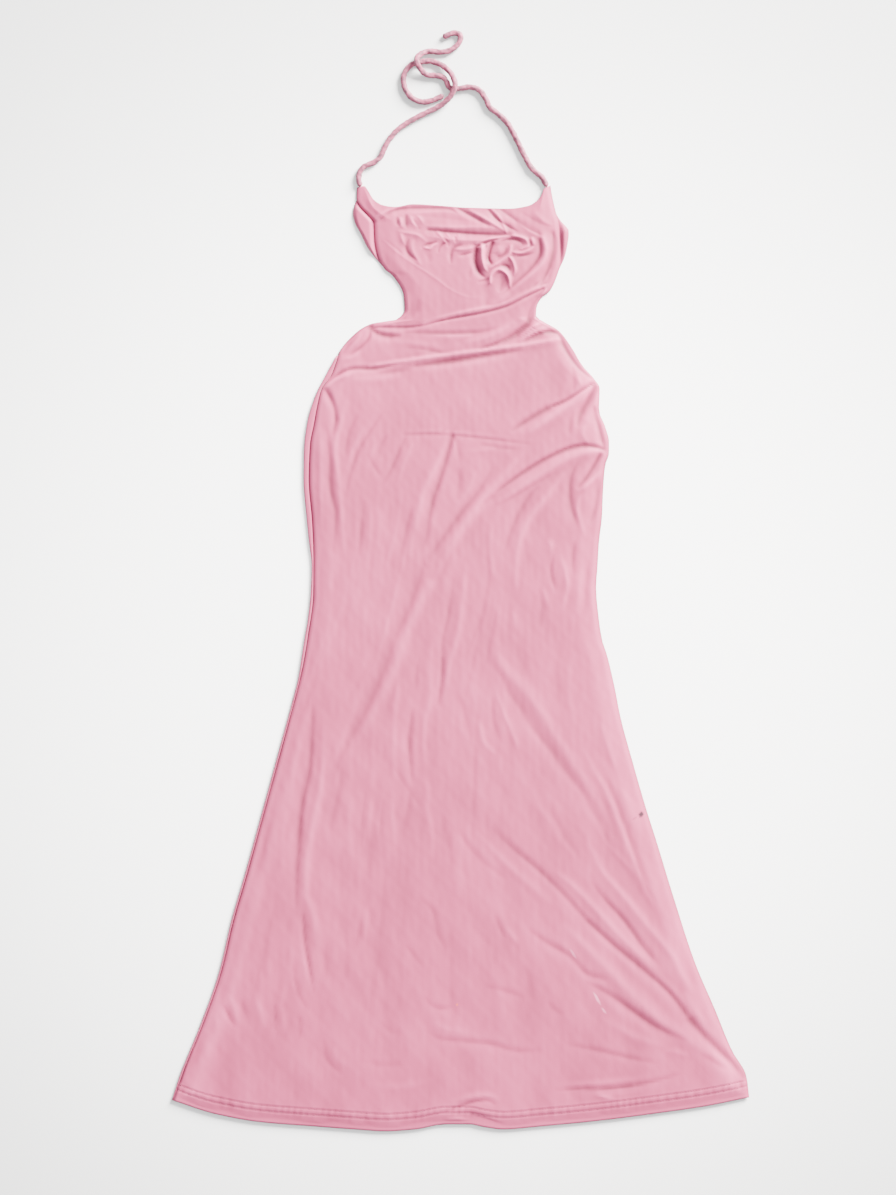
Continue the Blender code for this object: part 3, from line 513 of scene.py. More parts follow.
    Crease([(-210, -343), (-205, -379), (-198, -418)], 1, 2.9, 2.9),
    Crease([(-173.5, -358.5), (-173.5, -387), (-175, -418)], -1.1, 3.6, 3.6),
    Crease([(-203.5, -54), (-212.5, -122), (-224, -192), (-234.5, -249)], 1.2, 6.5, 6.5),
    Crease([(-245, -210), (-255.5, -249), (-263, -288)], -1.2, 4.2, 4.2),
    Crease([(-147.5, -103.5), (-156.5, -166), (-166, -210), (-164.5, -242.5)], -1.3, 5.2, 5.2),
    Crease([(-141, -171), (-143.5, -223), (-136, -275)], 0.9, 5.2, 5.2),
    Crease([(-123, -171), (-127, -203.5), (-128, -249)], -1.3, 3.6, 3.6),
    Crease([(-112.5, -164.5), (-117.5, -203.5), (-120, -249)], 1.2, 3.9, 3.9),
    Crease([(-97, -171), (-103.5, -216.5), (-99.5, -255.5)], -1.1, 3.9, 3.9),
    Crease([(-88, -168.5), (-88, -213), (-84, -249)], 1, 3.9, 3.9),
    Crease([(-64.5, -168.5), (-72, -218), (-76, -249)], -1.4, 5.2, 5.2),
    Crease([(-49, -171), (-39.5, -213), (-34.5, -262)], 1.4, 5.5, 5.5),
    Crease([(-26.5, -184), (-17.5, -236), (-6, -288)], -0.8, 5.7, 5.7),
    Crease([(-215, -410.5), (-211, -431), (-198, -457)], -1.2, 3.1, 3.1),
    Crease([(-219, -400), (-218, -418), (-214, -434)], 0.9, 2.9, 2.9),
    Crease([(-307.5, -448), (-301, -462.5), (-292, -479.5)], -2.4, 2.9, 2.9),
    Crease([(-301, -434), (-293, -454.5), (-286.5, -478)], 1.6, 3.6, 3.6),
    Crease([(-312.5, -448), (-316.5, -462.5), (-314, -483)], 1, 3.4, 3.4),
    Crease([(-284, -441.5), (-280, -457), (-271, -478)], -1.3, 3.9, 3.9),
    Crease([(-268.5, -431), (-259.5, -457), (-253, -483)], 1.5, 4.2, 4.2),
    Crease([(-241, -447), (-240, -462.5), (-240, -483)], -1.6, 3.1, 3.1),
    Crease([(-231, -449.5), (-229.5, -467.5), (-227, -488.5)], 1.3, 3.9, 3.9),
    Crease([(-208.5, -462.5), (-207.5, -478), (-208.5, -496)], -1.2, 3.1, 3.1),
    Crease([(-259.5, -371.5), (-258, -397.5), (-253, -423.5)], -0.9, 4.4, 4.4),
    Crease([(-176, -493.5), (-172, -522), (-151.5, -540.5)], -1.2, 3.4, 3.4),
    Crease([(-166, -501.5), (-159, -519.5), (-146, -530)], 0.7, 3.4, 3.4),
    Crease([(-128, -330), (-130.5, -353), (-136, -379)], -1.1, 3.1, 3.1),
    Crease([(-116.5, -319.5), (-116.5, -337.5), (-112.5, -353)], -0.9, 2.9, 2.9),
    Crease([(-123, -320.5), (-123, -346.5), (-123, -372.5)], 0.7, 3.1, 3.1),
    Crease([(-106, -353), (-104.5, -385.5), (-102, -424.5)], -0.9, 4.4, 4.4),
    Crease([(-147.5, -361), (-146, -385.5), (-149, -418)], -0.7, 3.9, 3.9),
    Crease([(-305, -320.5), (-292, -301), (-279, -275)], -1, 4.2, 4.2),
    Crease([(-331, -483), (-340, -509), (-349, -532.5)], -1.6, 4.4, 4.4),
    # Small creases over the middle of the hem
    Crease([(-52.5, -310.5), (-34.5, -330), (-29, -358.5), (-16, -382)], -1.2, 3.6, 3.6),
    Crease([(-73.5, -369), (-60.5, -384.5), (-47.5, -402.5)], -1.1, 3.6, 3.6),
    Crease([(-47.5, -436.5), (-37, -449.5), (-24, -454.5), (-6, -449.5)], -1.3, 3.4, 3.4),
    Crease([(-47.5, -479.5), (-29, -492.5), (-0.5, -496), (38.5, -500), (72, -509),
            (108.5, -509)], -1.6, 3.6, 3.9),
    Crease([(-39.5, -470), (-19, -480.5), (12.5, -486)], 0.8, 4.4, 4.4),
    Crease([(2, -262), (10, -301), (12.5, -333.5)], -0.7, 4.2, 4.2),
    Crease([(28, -353), (33, -385.5), (43.5, -411.5)], -0.8, 3.6, 3.6),
    Crease([(30.5, -424.5), (56.5, -431), (85, -440.5)], -1, 3.6, 3.6),
    Crease([(82.5, -398.5), (90.5, -418), (94, -444)], -1, 3.6, 3.6),
    Crease([(45, -332.5), (50, -345.5), (59, -363.5)], -1.5, 3.1, 3.1),
    Crease([(59, -345.5), (65.5, -357), (76, -371.5)], 1.4, 3.6, 3.6),
    Crease([(114, -444), (124, -457), (137, -462.5)], -0.8, 3.4, 3.4),
    Crease([(-104.5, -470), (-91.5, -483), (-78.5, -488.5)], -0.7, 3.9, 3.9),
    Crease([(-130.5, -522), (-99.5, -527.5), (-65.5, -525)], -0.6, 3.9, 3.9),
    # Diagonals that run to the right hem corner
    Crease([(189, -153), (207.5, -200), (228, -259.5), (246.5, -314)], -1.7, 3.4, 4.2),
    Crease([(159, -116.5), (173.5, -145), (192, -179), (212.5, -231), (233.5, -283),
            (254, -330)], 2.4, 4.9, 5.5),
    Crease([(182.5, -83), (192, -116.5), (205, -153)], 1.1, 3.4, 3.4),
    Crease([(160.5, -220.5), (179, -267.5), (208.5, -305), (241, -344), (270, -379),
            (290.5, -415.5), (303.5, -441.5)], 2.4, 5.2, 5.7),
    Crease([(111, -184), (137, -233.5), (166, -275)], -1, 5.7, 5.7),
    Crease([(90.5, -171), (119, -218), (150, -259.5)], 0.9, 5.7, 5.7),
    Crease([(168.5, -288), (189, -314), (212.5, -340), (236, -372.5), (262, -402.5)], -3.3, 3.9, 3.9),
    Crease([(114, -270), (150, -298.5), (186.5, -337.5), (223, -375.5), (267, -414.5)], 2.7, 6, 6),
    Crease([(38.5, -218), (68, -246.5), (101, -274), (133, -305), (164.5, -340)], -2.2, 4.4, 4.4, 0, 0.9),
    Crease([(164.5, -340), (197, -370), (236, -402.5), (272.5, -435), (298.5, -469),
            ], -3.4, 3.9, 4.7, 0.9, 1),
    Crease([(298.5, -469), (319, -491), (342.5, -514.5), (374, -543)], -4.4, 5.2, 6.2, 1, 1),
    Crease([(15, -218), (38.5, -244), (62, -267.5), (90.5, -293.5), (124, -324.5)], 1.5, 5.7, 5.7),
    Crease([(-6, -210), (7, -239), (30.5, -265), (62, -288)], -1.3, 4.7, 4.7),
    Crease([(129.5, -343), (168.5, -380.5), (210, -423.5), (251.5, -462.5), (301, -499),
            (327, -517)], 3.4, 10.4, 8.5),
    Crease([(85, -349.5), (115, -370), (143.5, -387), (163, -408), (186.5, -415.5),
            ], -2.2, 3.9, 4.7, 0, 0.5),
    Crease([(160.5, -418), (194.5, -436.5), (225.5, -458.5), (257, -479.5), (296, -497.5)], -3.3, 4.4, 6),
    Crease([(311.5, -512), (332, -525), (358, -538)], -1.6, 3.9, 3.9),
    Crease([(181.5, -465), (220.5, -488.5), (264.5, -504)], 1.4, 6.5, 6.5),
    Crease([(134.5, -500), (176, -508), (220.5, -518.5), (259.5, -526)], -1.5, 3.6, 3.6),
    Crease([(264.5, -509), (280, -510.5), (298.5, -517)], 0.9, 3.4, 3.4),
    Crease([(337.5, -475.5), (350.5, -504), (368.5, -535)], 1.6, 3.4, 3.4, 0.4, 0.6),
    Crease([(290.5, -431), (303.5, -454.5), (319, -475.5)], 1.6, 4.4, 4.4),
    # Puckers above and along the hem
    Crease([(119, -560), (155.5, -558.5), (197, -557.5), (241, -551), (288, -538)], -2.2, 2.6, 2.9),
    Crease([(129.5, -553.5), (181.5, -551), (233.5, -544.5)], 0.9, 3.6, 3.6),
    Crease([(173.5, -565), (186.5, -569), (202, -573)], 1.5, 3.1, 3.1),
    Crease([(-26.5, -591), (-6, -583.5), (17.5, -575.5), (36, -573.5), (47.5, -582)], -2.4, 2.5, 2.9),
    Crease([(-11, -575.5), (12.5, -569), (38.5, -567.5), (54, -575.5)], 1.5, 3.6, 3.6),
    Crease([(-19, -599), (-3, -597.5), (13.5, -600)], 1.6, 2.9, 2.9),
    Crease([(10, -591), (28, -597.5), (56.5, -606.5)], -2.6, 3.1, 3.6),
    Crease([(-115, -553.5), (-78.5, -556), (-39.5, -548)], 0.7, 5.2, 5.2),
]

# Left tie, from the strap to its end inside the loop
LEFT_TIE = [
    Route(-130.1, 612.9, 0), Route(-132.2, 622, 0), Route(-131, 631, 0), Route(-124.9, 639, 0),
    Route(-113.8, 643.6, 0), Route(-104.7, 650.4, 0), Route(-100.2, 659.2, 0),
    Route(-93.5, 672.5, 0), Route(-80, 688, 0), Route(-62.1, 699.8, 0), Route(-44.3, 708.9, 0),
    Route(-26.7, 717.5, 1), Route(-13.5, 728.6, 5), Route(-7.3, 742, 7.8), Route(-8.4, 750, 6.6),
    Route(-11.6, 757.6, 4.6), Route(-17.2, 764.3, 3), Route(-21.7, 768.4, 1.4),
    Route(-30, 773.2, 0), Route(-38.4, 775.6, 0), Route(-46.7, 775.6, 0), Route(-54.9, 773.9, 0),
    Route(-63.2, 771.4, 0), Route(-69.8, 765.4, 0), Route(-73.6, 757.1, 0),
    Route(-74, 748, 0), Route(-71.5, 739, 0), Route(-65.6, 730.3, 0), Route(-58, 725, 0),
    Route(-50, 722.8, 0), Route(-40, 723.8, 0), Route(-30, 727.5, 0), Route(-22, 731.5, 0),
]

# Right tie, from the strap to its free end above the loop
RIGHT_TIE = [
    Route(112.3, 612.7, 0), Route(106, 624.5, 0), Route(93, 636, 0), Route(83.3, 652.4, 0),
    Route(72.2, 675, 0), Route(61, 695, 0), Route(49.8, 706.3, 0), Route(38.4, 715.4, 0),
    Route(32.9, 726.4, 0), Route(25, 737.5, 0), Route(13.7, 742, 0), Route(2.7, 740.9, 0),
    Route(-7.5, 739.5, 0), Route(-15, 742.5, 0), Route(-18.2, 749.5, 0), Route(-23, 754.8, 0),
    Route(-32.5, 757, 0), Route(-42, 757.5, 0), Route(-50, 762.5, 2.6), Route(-55, 769.5, 6.8),
    Route(-57, 775.8, 7.6), Route(-55, 781, 6), Route(-49.9, 785.5, 3), Route(-43.3, 788.3, 0),
    Route(-35.9, 788.3, 0), Route(-27.6, 787.6, 0), Route(-18.5, 788.3, 0),
    Route(-10.1, 791.7, 0), Route(-3.5, 797.4, 0), Route(0, 804, 0), Route(-1, 809.9, 0),
    Route(-5.2, 812.3, 0), Route(-11.8, 811.6, 0), Route(-23, 807, 0),
]


def smooth_read(keys, values, at):
    """Values, at many places, of the smooth curve through a table whose keys rise."""
    keys = np.asarray(keys, dtype=float)
    values = np.asarray(values, dtype=float)
    steps = np.diff(values) / np.diff(keys)
    slopes = np.zeros(len(keys))
    slopes[0] = steps[0]
    slopes[-1] = steps[-1]
    same_way = steps[:-1] * steps[1:] > 0
    total = np.where(same_way, steps[:-1] + steps[1:], 1.0)
    slopes[1:-1] = np.where(same_way, 2 * steps[:-1] * steps[1:] / total, 0.0)
    at = np.clip(at, keys[0], keys[-1])
    i = np.clip(np.searchsorted(keys, at, side="right") - 1, 0, len(keys) - 2)
    span = keys[i + 1] - keys[i]
    t = (at - keys[i]) / span
    ends = (1 + 2 * t) * (1 - t) ** 2 * values[i] + t * t * (3 - 2 * t) * values[i + 1]
    return ends + span * (t * (1 - t) ** 2 * slopes[i] + t * t * (t - 1) * slopes[i + 1])


def edge_x(table, y):
    """Place across of a side edge at distances up the dress."""
    return smooth_read([-row.y for row in table], [row.x for row in table], -np.asarray(y))


def edge_y(table, x):
    """Place up the dress of a neckline, top edge or hem at places across it."""
    return smooth_read([row.x for row in table], [row.y for row in table], np.asarray(x))


def smooth_step(t):
    """Soft change from 0 to 1."""
    t = np.clip(t, 0.0, 1.0)
    return t * t * (3 - 2 * t)


def row_levels(plan):
    """Levels from the top down, from (start, end, spacing) stretches."""
    levels = [plan[0][0]]
    for start, end, spacing in plan:
        rows = max(1, round((start - end) / spacing))
        levels += [start + (end - start) * n / rows for n in range(1, rows + 1)]
    return np.array(levels)


def panel_grid(top, levels, top_level, top_end, left_x, right_x, columns):
    """Grids of x and y over a panel whose rows run from its top edge down to the hem."""
    points = np.array(top)
    lengths = np.concatenate([[0.0], np.cumsum(np.hypot(*np.diff(points, axis=0).T))])
    shares = np.linspace(0.0, 1.0, columns)
    top_x = smooth_read(lengths / lengths[-1], points[:, 0], shares)
    top_y = smooth_read(lengths / lengths[-1], points[:, 1], shares)
    top_shares = (top_x - top_x[0]) / (top_x[-1] - top_x[0])
    near_top = np.clip((levels - top_end) / (top_level - top_end), 0.0, 1.0)
    near_hem = np.clip((HEM_ROWS_START - levels) / (HEM_ROWS_START - HEM_LEVEL), 0.0, 1.0)
    left = left_x(levels + near_top * (top_y[0] - top_level) + near_hem * (HEM[0].y - HEM_LEVEL))
    right = right_x(levels + near_top * (top_y[-1] - top_level) + near_hem * (HEM[-1].y - HEM_LEVEL))
    mix = shares[None, :] + near_top[:, None] * (top_shares - shares)[None, :]
    x = left[:, None] + (right - left)[:, None] * mix
    y = levels[:, None] + near_top[:, None] * (top_y - top_level)[None, :]
    hem_y = edge_y(HEM, x * HEM[-1].x / right[:, None])
    return x, y + near_hem[:, None] * (hem_y - HEM_LEVEL)


def lift_over(outside):
    """Height at which the front passes a layer beneath, by the distance outside its edge."""
    settled = (outside - LIFT_PAST_EDGE) / (LIFT_SETTLED - LIFT_PAST_EDGE)
    return LAYER * (1 - smooth_step(settled))


def front_lift(x, y):
    """Height of the front's underside where nothing folds it."""
    over_skirt = lift_over(y - edge_y(BACK_TOP, x))
    over_band = lift_over(np.maximum(y - edge_y(BAND_TOP, x), edge_y(BAND_BOTTOM, x) - y))
    return np.maximum(over_skirt, over_band)


def through(points, steps):
    """Points close together on the smooth curve through some places."""
    ends = np.array([points[0], *points, points[-1]], dtype=float)
    curve = []
    for before, start, end, after in zip(ends, ends[1:], ends[2:], ends[3:]):
        for t in np.linspace(0.0, 1.0, steps, endpoint=False):
            swing = 2 * before - 5 * start + 4 * end - after
            turn = -before + 3 * start - 3 * end + after
            curve.append(start + 0.5 * t * (end - before + t * (swing + t * turn)))
    curve.append(ends[-1])
    return np.array(curve)


def crease_height(x, y, crease):
    """Share of a crease's height that it has at many places."""
    line = through(crease.path, 7)
    reach = 2.6 * max(crease.left, crease.right)
    low = line.min(axis=0) - reach
    high = line.max(axis=0) + reach
    near = (x > low[0]) & (x < high[0]) & (y > low[1]) & (y < high[1])
    result = np.zeros_like(x)
    if not near.any():
        return result
    px = x[near]
    py = y[near]
    runs = np.hypot(*np.diff(line, axis=0).T)
    travelled = np.concatenate([[0.0], np.cumsum(runs)])
    best = np.full(px.shape, 1e9)
    along = np.zeros(px.shape)
    side = np.zeros(px.shape)
    for i, (a, b) in enumerate(zip(line, line[1:])):
        dx, dy = b - a
        t = np.clip(((px - a[0]) * dx + (py - a[1]) * dy) / (dx * dx + dy * dy), 0.0, 1.0)
        away = np.hypot(px - a[0] - t * dx, py - a[1] - t * dy)
        closer = away < best
        best = np.where(closer, away, best)
        along = np.where(closer, (travelled[i] + t * runs[i]) / travelled[-1], along)
        side = np.where(closer, dx * (py - a[1]) - dy * (px - a[0]), side)
    width = np.where(side > 0, crease.left, crease.right)
    ends = crease.start * (1 - along) ** 2 + crease.finish * along ** 2
    strength = np.minimum(1.0, ends + np.sin(np.pi * along) ** 0.8)
    width = width * (0.6 + 0.4 * strength)
    crisp = 1.5 + 0.5 * smooth_step((width - 4) / 6)
    result[near] = strength * np.exp(-(best / width) ** crisp)
    return result


def drag_lines(seed):
    """Faint long folds that hang down the skirt and fan out to its hem and its right corner."""
    rng = np.random.default_rng(seed)
    lines = []
    for _ in range(DRAG_LINES):
        top = rng.uniform(*DRAG_TOPS)
        length = rng.uniform(*DRAG_LENGTHS)
        share = rng.uniform(*DRAG_SHARES)
        to_corner = smooth_step((share - 0.45) / 0.3) * smooth_step((-top + 20) / 160)
        to_left = smooth_step((top + 120) / 120) * smooth_step((0.9 - share) / 0.3)
        lean = (0.0011 * to_corner - 0.0006 * to_left) * length + rng.normal(0, 0.012)
        y = np.array([top, top - length / 2, max(top - length, HEM_LEVEL + 34)])
        shares = np.clip(share + lean * np.array([0, 0.5, 1.0]), 0.03, 0.97)
        x = edge_x(FRONT_LEFT, y) + shares * (edge_x(FRONT_RIGHT, y) - edge_x(FRONT_LEFT, y))
        x[1] += rng.normal(0, 3)
        height = rng.choice([-1, 1]) * rng.uniform(*DRAG_HEIGHTS)
        width = rng.uniform(*DRAG_REACHES)
        lines.append(Crease(list(zip(x, y)), height, width, width * 1.3))
    return lines


def fold_relief(x, y):
    """Height of all creases together: neighbours of one kind merge and don't pile up."""
    ridges = np.zeros_like(x)
    troughs = np.zeros_like(x)
    for crease in [*CREASES, *drag_lines(21)]:
        share = crease_height(x, y, crease) * abs(crease.height)
        if crease.height > 0:
            ridges += share ** MERGE
        else:
            troughs += share ** MERGE
    return ridges ** (1 / MERGE), troughs ** (1 / MERGE)


def soft_waves(x, y, wave):
    """Gentle waves in many directions round one lean, which even out to a height near 1."""
    rng = np.random.default_rng(wave.seed)
    total = np.zeros_like(x)
    for _ in range(wave.count):
        length = wave.shortest * (wave.longest / wave.shortest) ** rng.random()
        turn = wave.lean + rng.normal(0.0, 0.5)
        phase = rng.random() * 2 * np.pi
        bend = 0.25 * np.sin(y / (2.3 * wave.longest) + phase)
        across = x * np.cos(turn) + y * np.sin(turn)
        total += np.sin(2 * np.pi * across / length + phase + bend)
    return total / np.sqrt(wave.count)


def hem_height(x, y):
    """Distance of places above the hem's edge."""
    return y - edge_y(HEM, x)


def front_surface(x, y):
    """Height of the front's middle surface."""
    from_left = x - edge_x(FRONT_LEFT, y)
    from_right = edge_x(FRONT_RIGHT, y) - x
    above_hem = hem_height(x, y)
    below_neck = edge_y(NECKLINE, x) - y
    ends = np.minimum(above_hem, below_neck + NECK_FULLNESS)
    inside = np.minimum(np.minimum(from_left, from_right), ends)
    roll = np.clip(inside / ROLL_REACH, 0.0, 1.0)
    puff = PUFF * smooth_step(inside / PUFF_REACH) + ROLL * np.sqrt(roll * (2 - roll))
    ridges, troughs = fold_relief(x, y)
    depth = edge_y(RELIEF, -y)
    folds = depth * (ridges - troughs)
    waves = sum(wave.height * soft_waves(x, y, wave) for wave in WAVES)
    edge_calm = smooth_step(inside / CALM_REACH)
    in_hem = smooth_step((HEM_DEPTH + HEM_SOFTENING - above_hem) / HEM_SOFTENING)
    along = x + PUCKER_DRIFT * np.sin(x / PUCKER_DRIFT_LENGTH)
    fade = np.exp(-((above_hem - PUCKER_LEVEL) / PUCKER_REACH) ** 2)
    puckers = PUCKER_HEIGHT * np.sin(2 * np.pi * along / PUCKER_PITCH) * fade
    seam_pull = 0.0
    for row in HEM_STITCH_ROWS:
        seam_pull = seam_pull - GROOVE_DEPTH * np.exp(-((above_hem - row) / GROOVE_REACH) ** 2)
    height = puff + folds + edge_calm * waves
    sunk = np.minimum(height - SHALLOWEST, 0)
    bottom = np.where(height > SHALLOWEST, height, SHALLOWEST * np.exp(sunk / TROUGH_SOFTENING))
    at_edge = np.maximum(bottom * smooth_step(inside / EDGE_SETTLE), 0)
    bottom = np.where(inside < EDGE_SETTLE, at_edge, bottom)
    lift = front_lift(x, y)
    z = PLY / 2 + lift + np.maximum(bottom, in_hem * HEM_RISE)
    z += puckers * in_hem + seam_pull * in_hem
    at_rim = 1 - np.clip(inside / EDGE_DROP_REACH, 0.0, 1.0)
    z -= np.minimum(z - PLY / 2, EDGE_DROP) * at_rim ** 2
    return z


def grid_mesh(name, x, y, z, attributes=()):
    """Open sheet through a grid of points, with any values given for its points."""
    rows, columns = x.shape
    mesh = bpy.data.meshes.new(name)
    points = np.stack([x, y, z], axis=-1).reshape(-1, 3) * MM
    corner = (np.arange(rows - 1)[:, None] * columns + np.arange(columns - 1)[None, :]).ravel()
    faces = np.stack([corner, corner + columns, corner + columns + 1, corner + 1], axis=1)
    mesh.from_pydata(points.tolist(), [], faces.tolist())
    for label, values in attributes:
        layer = mesh.attributes.new(label, "FLOAT", "POINT")
        layer.data.foreach_set("value", values.ravel().astype(np.float32))
    mesh.shade_smooth()
    piece = bpy.data.objects.new(name, mesh)
    bpy.context.scene.collection.objects.link(piece)
    return piece


def lowest_near(z, reach):
    """Lowest height within some grid steps of each place."""
    padded = np.pad(z, reach, mode="edge")
    rows, columns = z.shape
    shifts = range(2 * reach + 1)
    return np.min([padded[i:i + rows, j:j + columns] for i in shifts for j in shifts], axis=0)


def cloth_mesh(name, x, y, z, rest, attributes=()):
    """Closed cloth: a fine upper face, a plainer lower face and the edge between them.

    The lower face takes every fourth point. It lies a ply below the lowest of the upper face
    around it, and never below the height that it rests at.
    """
    rows, columns = x.shape
    low = np.maximum(lowest_near(z, LOWER_STEP) - PLY, rest)
    low = np.minimum(low, z - LEAST_PLY)
    picked = (slice(None, None, LOWER_STEP), slice(None, None, LOWER_STEP))
    upper = np.stack([x, y, z], axis=-1).reshape(-1, 3)
    lower = np.stack([x[picked], y[picked], low[picked]], axis=-1).reshape(-1, 3)
    corner = (np.arange(rows - 1)[:, None] * columns + np.arange(columns - 1)[None, :]).ravel()
    faces = np.stack([corner, corner + columns, corner + columns + 1, corner + 1], axis=1).tolist()
    low_rows = (rows - 1) // LOWER_STEP + 1
    low_columns = (columns - 1) // LOWER_STEP + 1
    first = rows * columns
    under = first + np.arange(low_rows * low_columns).reshape(low_rows, low_columns)
    a, b, c, d = under[:-1, :-1], under[:-1, 1:], under[1:, 1:], under[1:, :-1]
    faces += np.stack([a.ravel(), b.ravel(), c.ravel(), d.ravel()], axis=1).tolist()
    over = np.arange(first).reshape(rows, columns)
    rims = ((over[0], under[0]), (over[:, -1], under[:, -1]))
    rims += ((over[-1, ::-1], under[-1, ::-1]), (over[::-1, 0], under[::-1, 0]))
    for above, below in rims:
        for n in range(len(below) - 1):
            run = above[n * LOWER_STEP:(n + 1) * LOWER_STEP + 1]
            faces.append([int(v) for v in (*run, below[n + 1], below[n])])
    mesh = bpy.data.meshes.new(name)
    mesh.from_pydata((np.concatenate([upper, lower]) * MM).tolist(), [], faces)
    for label, values in attributes:
        layer = mesh.attributes.new(label, "FLOAT", "POINT")
        both = np.concatenate([values.ravel(), values[picked].ravel()])
        layer.data.foreach_set("value", both.astype(np.float32))
    mesh.validate()
    mesh.shade_smooth()
    piece = bpy.data.objects.new(name, mesh)
    bpy.context.scene.collection.objects.link(piece)
    return piece


def apply_modifiers(piece):
    """Turn what the modifiers make of a piece into its plain mesh."""
    depsgraph = bpy.context.evaluated_depsgraph_get()
    plain = bpy.data.meshes.new_from_object(piece.evaluated_get(depsgraph))
    piece.modifiers.clear()
    piece.data = plain
    plain.name = piece.name


def thicken(piece, thickness):
    """Give an open sheet its thickness, half to each side."""
    wall = piece.modifiers.new("cloth thickness", "SOLIDIFY")
    wall.thickness = thickness * MM
    wall.offset = 0.0
    wall.use_even_offset = False
    apply_modifiers(piece)


def linear(hex_colour):
    """Linear colour from an sRGB hex value."""
    parts = [int(hex_colour[i:i + 2], 16) / 255 for i in (1, 3, 5)]
    values = [v / 12.92 if v <= 0.04045 else ((v + 0.055) / 1.055) ** 2.4 for v in parts]
    return (*values, 1.0)


def add_node(tree, kind, settings=None, **links):
    """Add a node with its settings, and link or fill the inputs that are named."""
    node = tree.nodes.new(kind)
    for key, value in (settings or {}).items():
        setattr(node, key, value)
    for key, value in links.items():
        numbered = key[1:].isdigit()
        socket = node.inputs[int(key[1:]) if numbered else key.replace("_", " ")]
        if isinstance(value, bpy.types.NodeSocket):
            tree.links.new(value, socket)
        else:
            socket.default_value = value
    return node


def principled(name):
    """A new material with its node tree and its Principled shader."""
    material = bpy.data.materials.new(name)
    material.use_nodes = True
    tree = material.node_tree
    return material, tree, tree.nodes["Principled BSDF"]


def add_spot(tree, place, base, spot):
    """Mix a small mark into a colour, round one place on the cloth."""
    turned = add_node(
        tree, "ShaderNodeMapping", {"vector_type": "TEXTURE"}, Vector=place,
        Location=(spot.x * MM, spot.y * MM, 0.0), Rotation=(0.0, 0.0, math.radians(spot.turn)),
        Scale=(spot.wide * MM, spot.high * MM, 1.0),
    )
    ragged = add_node(tree, "ShaderNodeTexNoise", Vector=turned.outputs[0], Scale=1.6, Detail=2.0)
    length = add_node(tree, "ShaderNodeVectorMath", {"operation": "LENGTH"}, _0=turned.outputs[0])
    rough = add_node(
        tree, "ShaderNodeMath", {"operation": "MULTIPLY_ADD"},
        _0=ragged.outputs[0], _1=0.9, _2=length.outputs["Value"],
    )
    inside = add_node(
        tree, "ShaderNodeMapRange", {"interpolation_type": "SMOOTHSTEP"},
        Value=rough.outputs[0], From_Min=0.8, From_Max=1.5, To_Min=spot.strength, To_Max=0.0,
    )
    mixed = add_node(
        tree, "ShaderNodeMix", {"data_type": "RGBA"},
        _0=inside.outputs[0], _6=base, _7=linear(spot.colour),
    )
    return mixed.outputs[2]


def jersey(name, light, middle, deep, spots=()):
    """Slinky jersey, knitted in polyester with elastane: matt with a weak sheen and fine ribs, with painted
    shade (the deep colour) in its creases and a painted highlight (the light colour) on its ridges.
    """
    material, tree, shader = principled(name)
    place = add_node(tree, "ShaderNodeTexCoord").outputs["Object"]
    patches = add_node(tree, "ShaderNodeTexNoise", Vector=place, Scale=7.0, Detail=3.0)
    painted_fold_shade = add_node(tree, "ShaderNodeAttribute", {"attribute_name": "painted_fold_shade"}).outputs["Fac"]
    uneven = add_node(
        tree, "ShaderNodeMapRange", Value=patches.outputs[0],
        From_Min=0.3, From_Max=0.7, To_Min=-0.12, To_Max=0.12,
    )
    # Painted shade and highlight: the ramp gives the deep colour in creases, the middle colour on flat
    # cloth and the light colour on ridges; the noise adds random tone
    level = add_node(tree, "ShaderNodeMath", _0=painted_fold_shade, _1=uneven.outputs[0])
    ramp = add_node(tree, "ShaderNodeValToRGB", Fac=level.outputs[0])
    ramp.color_ramp.elements[0].color = linear(deep)
    ramp.color_ramp.elements[1].color = linear(light)
    ramp.color_ramp.elements.new(0.5).color = linear(middle)
    cloth = ramp.outputs[0]
    for spot in spots:
        cloth = add_spot(tree, place, cloth, spot)
    tree.links.new(cloth, shader.inputs["Base Color"])
    ribs = add_node(
        tree, "ShaderNodeTexWave", {"bands_direction": "X", "wave_profile": "SIN"},
        Vector=place, Scale=1 / (RIB_PITCH * MM) / 20 * 2 * math.pi, Distortion=0.6, Detail=1.0,
    )
    grain = add_node(tree, "ShaderNodeTexNoise", Vector=place, Scale=900.0, Detail=2.0)
    texture = add_node(
        tree, "ShaderNodeMath", {"operation": "MULTIPLY_ADD"},
        _0=grain.outputs[0], _1=0.6, _2=ribs.outputs["Fac"],
    )
    bump = add_node(
        tree, "ShaderNodeBump", Height=texture.outputs[0], Strength=0.18, Distance=0.25 * MM,
    )
    tree.links.new(bump.outputs[0], shader.inputs["Normal"])
    shader.inputs["Roughness"].default_value = 0.62
    shader.inputs["IOR"].default_value = 1.45
    shader.inputs["Specular IOR Level"].default_value = 0.35
    shader.inputs["Sheen Weight"].default_value = 0.18
    shader.inputs["Sheen Roughness"].default_value = 0.45
    shader.inputs["Sheen Tint"].default_value = linear("#FFD9E2")
    return material


def softened(z, reach):
    """Heights averaged over some grid steps each way."""
    for axis in (0, 1):
        wide = np.pad(z, [(reach, reach) if n == axis else (0, 0) for n in (0, 1)], mode="edge")
        total = np.cumsum(wide, axis=axis)
        first = np.take(total, [0], axis=axis) * 0
        total = np.concatenate([first, total], axis=axis)
        count = z.shape[axis]
        upper = np.take(total, np.arange(count) + 2 * reach + 1, axis=axis)
        z = (upper - np.take(total, np.arange(count), axis=axis)) / (2 * reach + 1)
    return z


